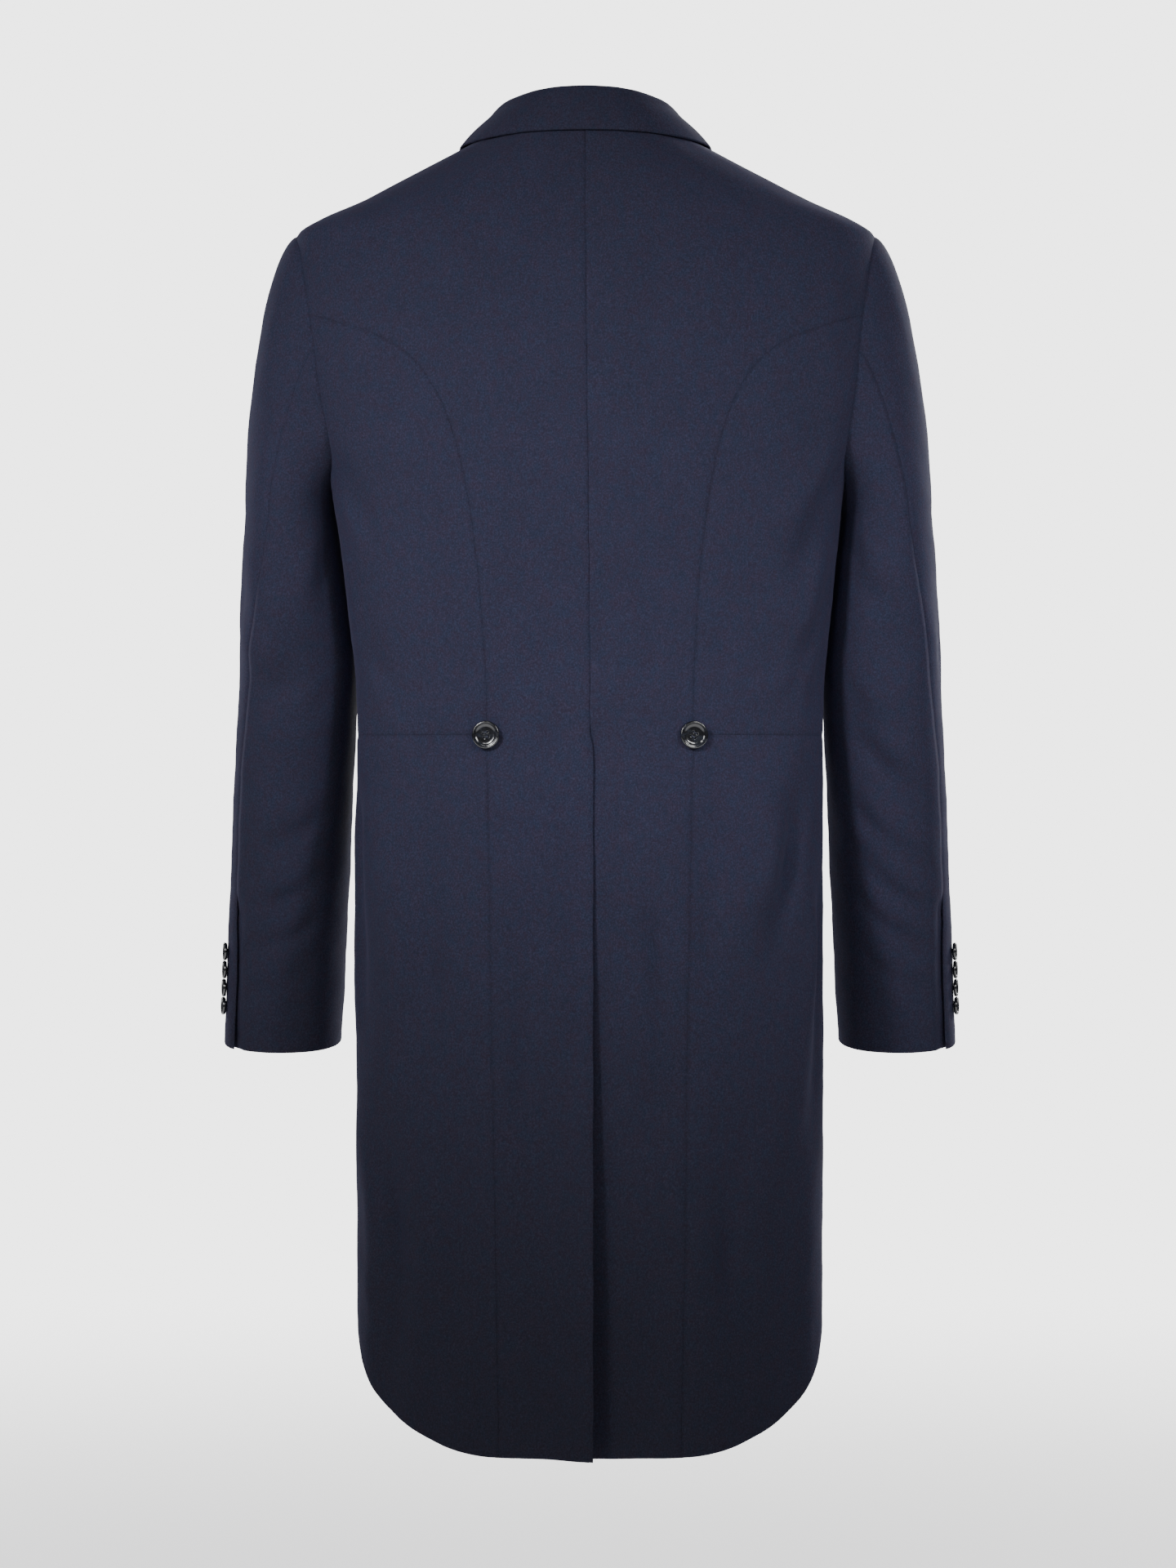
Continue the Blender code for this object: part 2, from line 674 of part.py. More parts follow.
def collar_section(base_neck, base_out, fold, leaf_outer, leaf_inner):
    """One section of the collar: up the stand on the neck side, over the fold and down the leaf."""
    stand = (base_out - fold).normalized()
    leaf = (leaf_outer[0] - fold).normalized()
    down = (stand + leaf).normalized()
    outward = (leaf - down * leaf.dot(down)).normalized()
    half_opening = math.acos(min(1.0, leaf.dot(down)))
    sides = []
    for radius, base, leaf_points in (
        (FOLD_RADIUS, base_neck, leaf_outer),
        (FOLD_RADIUS - COLLAR_CLOTH, base_out, leaf_inner),
    ):
        arc = []
        for k in range(FOLD_STEPS):
            angle = (math.pi / 2 - half_opening) * (2 * k / (FOLD_STEPS - 1) - 1)
            arc.append(fold + (outward * math.sin(angle) - down * math.cos(angle)) * radius)
        sides.append([base, base.lerp(arc[0], 0.5)] + arc + leaf_points)
    return sides


def collar_back_section(column, row):
    """A section of the collar round the back neck, where the stand rises from the neck seam."""
    x, y, z, leaf_x, leaf_level = row
    turn = turn_at(lerp(HALF_GAP, SHOULDER_HALF_WIDTH - HALF_GAP, column), 0)
    up = Vector((0, 0, NECK_SEAM_RISE))
    fold = Vector((x, y, z))
    leaf_turn = turn_at(leaf_x, leaf_level)
    grids = []
    for out in (LEAF_OUT, LAYER_GAP):
        end = torso_point(leaf_turn, leaf_level, out)
        away = torso_normal(leaf_turn, leaf_level)
        away = Vector((away.x, away.y, LEAF_RISE)).normalized()
        start = fold + away * (FOLD_RADIUS - LEAF_OUT + out)
        grids.append([start.lerp(end, s) + away * LEAF_BULGE * math.sin(math.pi * s) for s in LEAF_SHARES])
    base_neck = torso_point(turn, 0, -CLOTH) + up
    base_out = torso_point(turn, 0, COLLAR_CLOTH - CLOTH) + up
    return collar_section(base_neck, base_out, fold, *grids)


def collar_front_section(level, row):
    """A section of the collar down the front, where the stand grows lower towards the lapel."""
    dx, dy, dz, leaf_x, leaf_level = row
    roll_x = roll_line(level)[0]
    turn = turn_at(roll_x, level, True)
    edge = torso_point(turn, level)
    past_edge = (torso_point(turn_at(roll_x - 1, level, True), level) - edge).normalized() * SEAM_GAP
    fold = edge + Vector((dx, dy, dz))
    grids = []
    for out in (LEAF_OUT, LAYER_GAP):
        line = []
        for share in LEAF_SHARES:
            x, here = lerp(roll_x, leaf_x, share), lerp(level, leaf_level, share)
            lift = (dz - 1) * (1 - share) ** 2 + LEAF_STAND_OFF * share
            line.append(torso_point(turn_at(x, here, True), here, out + lift))
        grids.append(line)
    base_neck = torso_point(turn, level, -CLOTH) + past_edge
    base_out = torso_point(turn, level, COLLAR_CLOTH - CLOTH) + past_edge
    return collar_section(base_neck, base_out, fold, *grids)


def collar():
    """The whole collar in one piece: stand, fold and leaf, round the back neck and down to both notches."""
    half = [collar_back_section(column, row) for column, row in zip(NECK_COLUMNS, COLLAR_BACK)]
    half += [collar_front_section(level, row) for level, row in zip(NECK_LEVELS[1:], COLLAR_FRONT)]
    mirrored = [[[Vector((-p.x, p.y, p.z)) for p in line] for line in section] for section in half[:0:-1]]
    sections = mirrored + half
    outer, inner = ([section[k][::-1] for section in sections] for k in (0, 1))
    cloth("collar", outer, inner)


def ring_angle(angle, level):
    """The angle that a column of the sleeve has come round to on the ring at this level."""
    hind = sleeve_section(level)[5]
    if angle <= HIND_CORNER:
        return lerp(FORE_CORNER, hind, (angle - FORE_CORNER) / (HIND_CORNER - FORE_CORNER))
    end = FORE_CORNER + 360
    return lerp(hind, end, (angle - HIND_CORNER) / (end - HIND_CORNER))


def sleeve_ring(angle, level, out=0.0):
    """A point of the sleeve, at an angle from its back (0) by its outer side (90)."""
    x, half, y, deep, tilt, _ = sleeve_section(level)
    s, c = math.sin(math.radians(angle)), math.cos(math.radians(angle))
    power = 2 / SLEEVE_SQUARENESS
    dx = (half + out) * math.copysign(abs(s) ** power, s)
    dy = (deep + out) * math.copysign(abs(c) ** power, c)
    return Vector((x + dx, y + dy, level - tilt * dy))


def sleeve_cap(angle, share):
    """A point of the sleeve head, on a curve that leaves the armhole and comes down to the first ring."""
    turn, level = armhole_at(angle)
    s, c = math.sin(math.radians(angle)), math.cos(math.radians(angle))
    parts = (max(s, 0) ** 2, max(-s, 0) ** 2, max(c, 0) ** 2, max(-c, 0) ** 2)
    way = sum((leave * part for leave, part in zip(CAP_LEAVES, parts)), Vector((0, 0, 0)))
    pull = CAP_HANG * sum(strength * part for strength, part in zip(CAP_PULLS, parts))
    begin = smooth_torso(turn, level) + way.normalized() * SEAM_GAP
    end = sleeve_ring(ring_angle(angle, SLEEVE_LEVELS[0]), SLEEVE_LEVELS[0])
    t = share
    point = begin * ((1 + 2 * t) * (1 - t) ** 2) + way * (t * (1 - t) ** 2)
    return point + end * (t * t * (3 - 2 * t)) + pull * (t * t * (t - 1))


def sleeve_cap_normal(angle, share):
    round_arm = sleeve_cap(angle + NORMAL_ANGLE, share) - sleeve_cap(angle - NORMAL_ANGLE, share)
    down = sleeve_cap(angle, share + NORMAL_SHARE) - sleeve_cap(angle, max(share - NORMAL_SHARE, 0))
    return round_arm.cross(down).normalized()


def sleeve_wall(name, angles, side, moved, laps=()):
    """A sleeve piece from its columns. Moved gives a ring point's own angle and how far out it is.

    Laps are more columns past the last one, which begin at the top of the cuff vent.
    """
    vent_row = len(CAP_SHARES) + SLEEVE_LEVELS.index(CUFF_VENT_TOP)
    sewn = len(angles) - 1
    grids = []
    for wall in (0.0, CLOTH):
        rows = []
        for share in CAP_SHARES:
            row = [sleeve_cap(a, share) - sleeve_cap_normal(a, share) * wall for a in angles]
            rows.append(row + [row[-1]] * len(laps))
        for level in SLEEVE_LEVELS:
            hind = sleeve_section(level)[5]
            places = [moved(ring_angle(a, level), level, hind) for a in angles]
            places += [(hind + lap, -CLOTH - LAYER_GAP) for lap in laps]
            rows.append([sleeve_ring(angle, level, out - wall) for angle, out in places])
        grids.append(rows)
    cloth(name, *grids, side, lambda i, j: j < sewn or i >= vent_row)


def under_sleeve(side):
    """The narrow inner piece of the sleeve, which passes under the top sleeve at the cuff vent."""

    def moved(angle, level, hind):
        near = ease((angle - hind + CUFF_SUNK_REACH) / CUFF_SUNK_WIDTH)
        below = ease((CUFF_VENT_TOP + CUFF_SUNK_RISE - level) / CUFF_SUNK_LENGTH)
        return angle, -(CLOTH + LAYER_GAP) * near * below

    first, last = UNDER_ANGLES[0] + RING_GAP_TURN, UNDER_ANGLES[-1] - RING_GAP_TURN
    sleeve_wall(named("under_sleeve", side), (first, *UNDER_ANGLES[1:-1], last), side, moved, CUFF_UNDERLAP)


def top_sleeve(side):
    """The wide outer piece of the sleeve. Its edge laps over the vent and flares a little at the cuff."""

    def moved(angle, level, hind):
        near = ease((hind + CUFF_OFF_WIDTH - angle) / CUFF_OFF_WIDTH)
        lap = CUFF_LAP * ease((CUFF_VENT_TOP - CUFF_LAP_START - level) / CUFF_LAP_LENGTH)
        flare = lerp(CUFF_OFF, CUFF_OFF_FOOT, ease((CUFF_FLARE_TOP - level) / CUFF_FLARE_LENGTH))
        return angle - lap * near, ease((CUFF_VENT_TOP - level) / CUFF_OFF_LENGTH) * flare * near

    first, last = TOP_ANGLES[0] + RING_GAP_TURN, TOP_ANGLES[-1] - RING_GAP_TURN
    sleeve_wall(named("top_sleeve", side), (first, *TOP_ANGLES[1:-1], last), side, moved)


def button(name, size, place, normal, side):
    """A turned button with a raised rim and a dished middle, on the short stem of its sewing thread."""
    radius, thickness, sides = size
    top = BUTTON_STAND + thickness
    profile = (
        (0.0, top - BUTTON_DISH),
        (DISH_SHARE * radius, top - BUTTON_DISH),
        (RIM_SHARE * radius, top),
        (RIM_EDGE_SHARE * radius, top - RIM_EDGE_DROP),
        (radius, BUTTON_STAND + BELLY_SHARE * thickness),
        (FOOT_SHARE * radius, BUTTON_STAND),
        (BUTTON_STEM, BUTTON_STAND),
        (BUTTON_STEM, 0.0),
        (0.0, 0.0),
    )
    points = [(x * MM, 0.0, z * MM) for x, z in profile]
    mesh = bpy.data.meshes.new(name)
    mesh.from_pydata(points, [(k, k + 1) for k in range(len(points) - 1)], [])
    obj = add_object(name, mesh, finish(name + " horn", HORN, HORN_ROUGHNESS))
    turned = obj.modifiers.new("turned", "SCREW")
    turned.steps = sides
    turned.render_steps = sides
    turned.use_merge_vertices = True
    turned.merge_threshold = MERGE
    turned.use_smooth_shade = True
    obj.location = hung(place + normal * SEAM_GAP, side)
    obj.rotation_mode = "QUATERNION"
    obj.rotation_quaternion = Vector((side * normal.x, normal.y, normal.z)).to_track_quat("Z", "Y")


def buttons():
    """One front button, two at the back waist where the curved seams end, and four on each cuff."""
    across, up_down = CUFF_BUTTON_SPAN
    front_turn = turn_at(0, FRONT_BUTTON_LEVEL, True)
    front_place = torso_point(front_turn, FRONT_BUTTON_LEVEL)
    button("front_button", FRONT_BUTTON, front_place, torso_normal(front_turn, FRONT_BUTTON_LEVEL), 1)
    for side in (1, -1):
        turn = turn_at(*BACK_SEAM[-1])
        place, normal = torso_point(turn, WAIST_LEVEL), torso_normal(turn, WAIST_LEVEL)
        button(named("back_button", side), BACK_BUTTON, place, normal, side)
        for i in range(CUFF_BUTTONS):
            level = CUFF_BUTTON_TOP - i * CUFF_BUTTON_PITCH
            angle = sleeve_section(level)[5] + CUFF_BUTTON_ANGLE
            place = sleeve_ring(angle, level)
            round_arm = sleeve_ring(angle + across, level) - sleeve_ring(angle - across, level)
            down = sleeve_ring(angle, level - up_down) - sleeve_ring(angle, level + up_down)
            normal = round_arm.cross(down).normalized()
            button(named("cuff_button", side) + f"_{i + 1}", CUFF_BUTTON, place, normal, side)


for old in list(bpy.data.objects):
    bpy.data.objects.remove(old)
coat = bpy.data.collections.new("morning coat")
bpy.context.scene.collection.children.link(coat)
for side in (1, -1):
    back(side)
    side_body(side)
    front(side)
    skirt(side)
    lapel(side)
    top_sleeve(side)
    under_sleeve(side)
collar()
buttons()
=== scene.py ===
"""A navy morning coat of worsted wool in its worn, hollow form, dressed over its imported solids.

Sizes are in millimetres and angles in degrees unless a name says otherwise. The wearer would face -Y and
+X is the wearer's left. A "level" is a height, from 0 at the neck points down. A "turn" is how far round
the body a point is: 0 at the centre back, 90 at the side, 180 at the centre front. Each piece of cloth is
a thin shell on the form of its solid, with its seams, folded edges and creases worked into the shell.
"""

from __future__ import annotations

import logging
import math
from dataclasses import dataclass, field
from enum import Enum
from typing import Callable, Sequence

import bpy
import numpy as np
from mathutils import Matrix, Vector


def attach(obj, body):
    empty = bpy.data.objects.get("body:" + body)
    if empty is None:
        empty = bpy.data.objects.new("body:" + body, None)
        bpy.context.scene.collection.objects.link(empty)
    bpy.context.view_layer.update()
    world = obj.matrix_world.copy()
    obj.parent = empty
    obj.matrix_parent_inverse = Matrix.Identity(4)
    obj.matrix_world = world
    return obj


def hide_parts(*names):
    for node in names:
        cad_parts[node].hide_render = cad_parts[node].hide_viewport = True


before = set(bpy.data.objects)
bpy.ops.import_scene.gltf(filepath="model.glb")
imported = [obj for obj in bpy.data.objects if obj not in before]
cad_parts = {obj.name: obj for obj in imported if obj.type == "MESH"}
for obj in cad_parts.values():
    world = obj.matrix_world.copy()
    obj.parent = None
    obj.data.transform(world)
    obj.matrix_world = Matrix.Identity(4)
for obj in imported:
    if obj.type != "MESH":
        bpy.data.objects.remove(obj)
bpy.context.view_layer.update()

LOG = logging.getLogger("morning_coat")
MM = 0.001
SEAM_GAP = 0.3
# Sewn edges meet in the bottom of their seam, a hair past each other, so that no light comes through
HALF_GAP = -0.03
CLOTH = 2.0
LAPEL_CLOTH = 2.0
COLLAR_CLOTH = 1.8
LAYER_GAP = 0.7
WAIST = -479.0
HEM = -1047.0
SEAM_HEM = -1045.2
SHOULDER_LEVEL = -79.5
SHOULDER_HALF_WIDTH = 231.5
NECK_HALF_WIDTH = 78.0
# Millimetres round the body for each degree of turn
MM_PER_TURN = 2.9
# How far the coat hangs over to the wearer's right, in full from this level down
LEAN = -3.6
LEAN_LEVEL = -480.0

Array = np.ndarray
Point = tuple[float, float, float]
Rows = Sequence[Sequence[float]]


def ease(t: Array | float) -> Array:
    """Return 0 up to 0, 1 from 1 on, and a smooth rise between."""
    t = np.clip(t, 0.0, 1.0)
    return t * t * (3 - 2 * t)


def lerp(a: Array | float, b: Array | float, t: Array | float) -> Array:
    """Return the value at share t of the way from a to b."""
    return a + (b - a) * t


def unit(v: Array) -> Array:
    """Return vectors of length 1 along the last axis."""
    return v / np.maximum(np.linalg.norm(v, axis=-1, keepdims=True), 1e-9)


class Curve:
    """A smooth curve through rows of values that never swings past them."""

    def __init__(self, places: Array, values: Array) -> None:
        """Work out the slope at each row.

        Args:
            places: rising positions of the rows.
            values: the values of each row, in any number of further axes.
        """
        self.x = np.asarray(places, float)
        self.y = np.asarray(values, float)
        wide = (slice(None),) + (None,) * (self.y.ndim - 1)
        steps = np.diff(self.y, axis=0) / np.maximum(np.diff(self.x), 1e-9)[wide]
        a, b = steps[:-1], steps[1:]
        total = a + b
        inner = np.where(a * b > 0, 2 * a * b / np.where(np.abs(total) > 1e-12, total, 1.0), 0.0)
        self.m = np.concatenate([steps[:1], inner, steps[-1:]])

    @classmethod
    def of(cls, rows: Rows, key: int = 0) -> Curve:
        """Return the curve of a table's other columns over its key column."""
        data = np.array(sorted(rows, key=lambda row: row[key]), float)
        return cls(data[:, key], np.delete(data, key, 1))

    def __call__(self, x: Array | float) -> Array:
        """Return the values at x.

        Args:
            x: places along the key column.

        Returns:
            The values, with their own axes after those of x.
        """
        x = np.clip(np.asarray(x, float), self.x[0], self.x[-1])
        i = np.clip(np.searchsorted(self.x, x, side="right") - 1, 0, len(self.x) - 2)
        h = self.x[i + 1] - self.x[i]
        t = (x - self.x[i]) / h
        wide = t.shape + (1,) * (self.y.ndim - 1)
        t, h = t.reshape(wide), h.reshape(wide)
        first, first_slope = (1 + 2 * t) * (1 - t) ** 2, t * (1 - t) ** 2 * h
        last, last_slope = t * t * (3 - 2 * t), t * t * (t - 1) * h
        return (
            first * self.y[i]
            + first_slope * self.m[i]
            + last * self.y[i + 1]
            + last_slope * self.m[i + 1]
        )

    def column(self, x: Array | float, index: int) -> Array:
        """Return one column of the values at x."""
        return self(x)[..., index]


def refine(values: Array | Rows, steps: int, axis: int = 0) -> Array:
    """Put more rows between the given ones, on a smooth curve through them.

    Args:
        values: the rows, with their values in the last axis.
        steps: how many intervals each one becomes.
        axis: the axis along which the rows lie.

    Returns:
        The finer array.
    """
    rows = np.moveaxis(np.asarray(values, float), axis, 0)
    gaps = np.linalg.norm(np.diff(rows, axis=0), axis=-1)
    gaps = gaps.reshape(len(gaps), -1).mean(1)
    places = np.concatenate([[0.0], np.cumsum(np.maximum(gaps, 1e-6))])
    fine = subdivide(places, steps)
    return np.moveaxis(Curve(places, rows)(fine), 0, axis)


def subdivide(values: Sequence[float] | Array, steps: int) -> Array:
    """Put equal steps between the given numbers.

    Args:
        values: the numbers.
        steps: how many intervals each one becomes.

    Returns:
        The longer row of numbers.
    """
    values = np.asarray(values, float)
    index = np.arange((len(values) - 1) * steps + 1) / steps
    return np.interp(index, np.arange(len(values)), values)


def linear(srgb: str) -> tuple[float, float, float, float]:
    """Turn an sRGB hex value into a linear colour with alpha.

    Args:
        srgb: the colour as # and six digits.

    Returns:
        Red, green, blue and alpha, each from 0 to 1.
    """
    parts = [int(srgb[k : k + 2], 16) / 255 for k in (1, 3, 5)]
    low = [c / 12.92 if c <= 0.04045 else ((c + 0.055) / 1.055) ** 2.4 for c in parts]
    return (low[0], low[1], low[2], 1.0)


# The form of the coat, from the same named sizes as its solids. Rings of the body: level, half width, y of
# the widest place, of the back and of the front, the back's squareness, and how far up its middle is
TORSO_RINGS = Curve.of((
    (0, 78.0, 0, 62, -60, 2.0, 8),
    (-12, 101.2, 0, 71, -70, 2.0, 7),
    (-31, 137.9, 1, 80, -82, 2.1, 5),
    (-52, 178.4, 3, 89, -93, 2.2, 3),
    (SHOULDER_LEVEL, SHOULDER_HALF_WIDTH, 5, 97, -105, 2.3, 1),
    (-102, 235.5, 7, 103, -112, 2.4, 0),
    (-148, 233.0, 9, 110, -124, 2.5, 0),
    (-200, 228.0, 11, 113, -133, 2.5, 0),
    (-245, 216.5, 12, 112, -138, 2.5, 0),
    (-282, 204.5, 12, 109, -139, 2.5, 0),
    (-335, 198.0, 12, 101, -136, 2.4, 0),
    (-379, 193.4, 11, 94, -132, 2.4, 0),
    (-433, 187.7, 8, 88, -128, 2.3, 0),
    (-479, 186.4, 6, 86, -126, 2.3, 0),
    (-540, 186.4, 4, 92, -124, 2.3, 0),
    (-620, 186.4, 4, 101, -118, 2.4, 0),
    (-720, 186.4, 5, 106, -108, 2.4, 0),
    (-850, 185.4, 6, 106, -98, 2.4, 0),
    (-950, 184.6, 8, 104, -92, 2.4, 0),
    (-1060, 184.2, 8, 102, -90, 2.4, 0),
))
FRONT_SQUARENESS = 2.0
# Soft folds that hang from the waist: turn, spread, height out, levels where it begins and is full
DRAPE = (
    (13, 9, -2.4, -700, -980),
    (32, 10, 2.2, -740, -1000),
    (60, 13, -2.4, -680, -960),
    (86, 12, 1.2, -620, -900),
    (110, 14, -2.0, -580, -800),
    (138, 12, 1.6, -540, -680),
)
ARMHOLE_START = -120
# The armhole seam: angle about the arm, turn, level
ARMHOLE = Curve.of((
    (-120, 113.0, -268),
    (-90, 97.0, -282),
    (-60, 79.0, -268),
    (-30, 70.3, -231),
    (0, 69.0, -179),
    (30, 71.5, -127),
    (60, 76.2, -93),
    (90, 90.0, SHOULDER_LEVEL),
    (120, 101.0, -93),
    (150, 114.0, -127),
    (180, 121.0, -179),
    (210, 120.5, -231),
    (240, 113.0, -268),
    (270, 97.0, -282),
))
# Angles about the arm where other seams meet the armhole
BACK_CORNER = 17.5
HIND_CORNER = 2.0
UNDERARM_CORNER = -98.0
FORE_CORNER = -145.0
# Columns of the under sleeve and the top sleeve, as angles about the arm
UNDER_ANGLES = (-145, -132, -115, -98, -82, -62, -42, -20, 2)
TOP_ANGLES = (2, 17.5, 33, 50, 70, 90, 110, 130, 150, 172, 194, 215)
# Curved back seam from the armhole to the waist, then down the tail: from the centre back, level
BACK_SEAM = (
    (188.0, -157), (160.0, -168), (138.6, -183), (121.0, -206), (108.0, -234), (98.7, -271),
    (92.0, -308), (87.6, -346), (83.8, -396), (81.8, -440), (81.4, -479),
)
TAIL_SEAM = (
    (80.6, -520), (79.2, -580), (77.8, -650), (76.2, -735), (74.9, -820), (73.6, -905),
    (72.6, -970), (72.0, -1015), (71.8, SEAM_HEM),
)
# Levels of the rows down the centre back, and how far the first rows follow the shoulder's slope
CENTRE_BACK = (0, -7, -22, -48, -82, -106, -130, -155, -184, -220, -260, -300, -342, -392, -438, -479)
SHOULDER_FOLLOWED = (1.0, 0.85, 0.55, 0.25, 0.08, 0.0)
# Columns of the back, as shares of its width, which the collar and the front share
BACK_COLUMNS = (0, 0.08, 0.16, 0.23, 0.29, 0.32, 0.341, 0.43, 0.54, 0.66, 0.78, 0.9, 1.0)
NECK_COLUMNS = BACK_COLUMNS[:7]
SHOULDER_COLUMNS = BACK_COLUMNS[6:]
# The line where the lapel and the collar turn back: from the centre line, level
ROLL_LINE = Curve.of(
    (
        (78.0, 0), (78.0, -2), (77.3, -6), (76.0, -13), (73.6, -24), (70.5, -38), (66.5, -57),
        (60.2, -90), (53.5, -130), (45.5, -172), (36.5, -215), (27.5, -258), (18.0, -302),
        (8.5, -345), (-1.5, -388), (-12.5, -428), (-18.5, -452), (-20.0, WAIST),
    ),
    key=1,
)
NECK_LEVELS = (0, -2, -6, -13, -24, -38, -57)
# Front edge and hem of the skirt: turn, level
CUTAWAY = (
    (186.1, WAIST), (180.5, -490), (171.0, -516), (158.0, -562), (145.0, -622), (132.0, -694),
    (120.0, -770), (108.0, -848), (98.0, -906), (90.0, -940), (84.0, -957), (79.0, -975),
)
TAIL_HEM = (
    (22.7, SEAM_HEM), (26.2, -1044.5), (30.0, -1042.9), (37.5, -1038.0), (45.0, -1030),
    (52.0, -1022), (59.0, -1013), (66.0, -1002.5), (73.0, -989), (79.0, -975),
)
# Sleeve rings: level, centre x, half width, centre y, half depth, tilt, angle of the hind seam
SLEEVE_RINGS = Curve.of((
    (-300, 239.2, 37.0, -22, 73.0, 0.05, 20),
    (-359, 237.6, 43.0, -27, 70.0, 0.08, 34),
    (-425, 235.8, 48.2, -36, 66.0, 0.12, 47),
    (-491, 239.2, 48.6, -48, 61.0, 0.16, 55),
    (-557, 242.6, 48.5, -60, 57.0, 0.18, 58),
    (-624, 246.0, 48.3, -72, 53.5, 0.18, 57),
    (-691, 249.5, 48.0, -83, 50.5, 0.17, 55),
    (-728, 251.4, 47.6, -89, 49.0, 0.16, 53),
))
SLEEVE_LEVELS = (-300, -335, -375, -415, -455, -500, -545, -585, -620, -655, -695, -728)
CAP_SHARES = (0.0, 0.04, 0.12, 0.24, 0.4, 0.58, 0.78, 1.0)
# Sections round the back neck: x, y and z of the fold, x and level of the leaf's edge
COLLAR_BACK = (
    (0.0, 57.0, 31.6, 0.0, -10.0),
    (18.8, 54.2, 31.2, 24.0, -10.0),
    (36.5, 45.5, 29.8, 46.0, -10.0),
    (51.0, 33.5, 27.0, 64.0, -10.6),
    (61.5, 20.0, 24.2, 78.0, -11.2),
    (67.0, 8.0, 21.0, 88.5, -11.8),
    (71.4, -6.0, 16.8, 98.8, -11.8),
)
# Sections down the front: the fold's x, y and z from the roll line, x and level of the leaf's edge
COLLAR_FRONT = (
    (-3.8, -3.0, 12.6, 101.5, -13.8),
    (-2.6, -3.4, 10.8, 103.6, -18.6),
    (-1.6, -3.6, 8.8, 106.5, -27.0),
    (-0.8, -3.8, 7.0, 110.0, -40.0),
    (-0.2, -4.0, 5.4, 121.0, -58.5),
    (0.0, -3.6, 3.4, 103.0, -73.0),
)
# The seam of collar and lapel, and the lapel's edge: from the centre line, level
GORGE = ((66.2, -57.7), (102.6, -73.7))
LAPEL_EDGE = (
    (149.0, -64), (148.0, -73), (146.0, -84), (143.5, -97), (138.5, -116), (129.5, -148),
    (118.0, -184), (103.5, -223), (86.5, -264), (67.0, -306), (45.5, -348), (23.0, -388),
    (2.0, -421), (-13.0, -439),
)
LAPEL_FOOT = -444.0
GORGE_COLUMNS = (0.0, 0.06, 0.16, 0.3, 0.44)
LAPEL_COLUMNS = GORGE_COLUMNS + (0.62, 0.81, 1.0)


@dataclass(frozen=True)
class Crease:
    """A soft trough with a ridge beside it, along a given line.

    The line's points are (place round the piece, level), both in millimetres once scaled. The ridge's place
    and width and the reach of both are in widths of the trough. Both fade over a share of the line at its
    ends, and vary a little along it.
    """

    path: tuple[tuple[float, float], ...]
    width: float
    depth: float
    ridge: float = 0.6
    phase: float = 0.0
    ridge_place: float = 1.8
    ridge_width: float = 1.4
    reach: float = 4.0
    fade: float = 0.35
    wavering: float = 0.28
    swelling: float = 0.2
    fineness: int = 6

    def height(self, across: Array, level: Array, scale: float) -> Array:
        """Return how far out the crease puts each point.

        Args:
            across: places round the piece, in millimetres.
            level: heights of the points.
            scale: millimetres for each unit of the path's first number.

        Returns:
            Heights in millimetres, mostly 0.
        """
        line = refine(np.array(self.path) * (scale, 1.0), self.fineness)
        reach = self.reach * self.width
        low, high = line.min(0) - reach, line.max(0) + reach
        near = (across > low[0]) & (across < high[0]) & (level > low[1]) & (level < high[1])
        total = np.zeros(across.shape)
        if not near.any():
            return total
        point = np.stack([across[near], level[near]], -1)[:, None, :]
        start, run = line[:-1], np.diff(line, axis=0)
        share = np.clip(((point - start) * run).sum(-1) / (run * run).sum(-1), 0, 1)
        gap = point - (start + run * share[..., None])
        k = (gap * gap).sum(-1).argmin(-1)
        pick = np.arange(len(k))
        gap, along = gap[pick, k], (k + share[pick, k]) / len(run)
        side = np.sign(run[k, 0] * gap[:, 1] - run[k, 1] * gap[:, 0])
        off = side * np.linalg.norm(gap, axis=-1)
        width = self.width * (1 + self.wavering * np.sin(7 * along + self.phase))
        fade = ease(along / self.fade) * ease((1 - along) / self.fade)
        swell = fade * (1 - self.swelling + self.swelling * np.sin(12 * along + 2 * self.phase))
        trough = np.exp(-((off / width) ** 2))
        from_ridge = (off - self.ridge_place * width) / (self.ridge_width * width)
        beside = self.ridge * np.exp(-(from_ridge**2))
        total[near] = self.depth * swell * (beside - trough)
        return total


@dataclass(frozen=True)
class Hand:
    """The way the cloth lies: listed creases and a faint unevenness all over."""

    creases: tuple[Crease, ...]
    scale: float
    depth: float = 1.0
    uneven: float = 0.32
    # The unevenness: each wave's length, lean and share of the height
    waves: tuple[Point, ...] = (
        (97, 0.4, 1.0), (61, -0.7, 0.7), (38, 1.3, 0.35), (23, -1.9, 0.16),
    )

    @classmethod
    def of(cls, rows: Sequence[tuple], scale: float, depth: float, **settings: float) -> Hand:
        """Return the hand of a table whose rows hold three points, width, depth, ridge and phase."""
        return cls(tuple(Crease(row[:3], *row[3:]) for row in rows), scale, depth, **settings)

    def height(self, across: Array, level: Array) -> Array:
        """Return how far out the cloth lies.

        Args:
            across: places round the piece, in millimetres.
            level: heights of the places.

        Returns:
            Heights above the smooth piece.
        """
        total = np.zeros(np.broadcast(across, level).shape)
        across, level = np.broadcast_arrays(across, level)
        for crease in self.creases:
            total = total + self.depth * crease.height(across, level, self.scale)
        for k, (wave, lean, share) in enumerate(self.waves):
            turn = 2 * math.pi / wave
            total = total + self.uneven * share * (
                np.sin(turn * (across + lean * level) + 1.7 * k)
                * np.sin(turn * 0.55 * (level - 0.3 * lean * across) + 0.9 * k)
            )
        return total


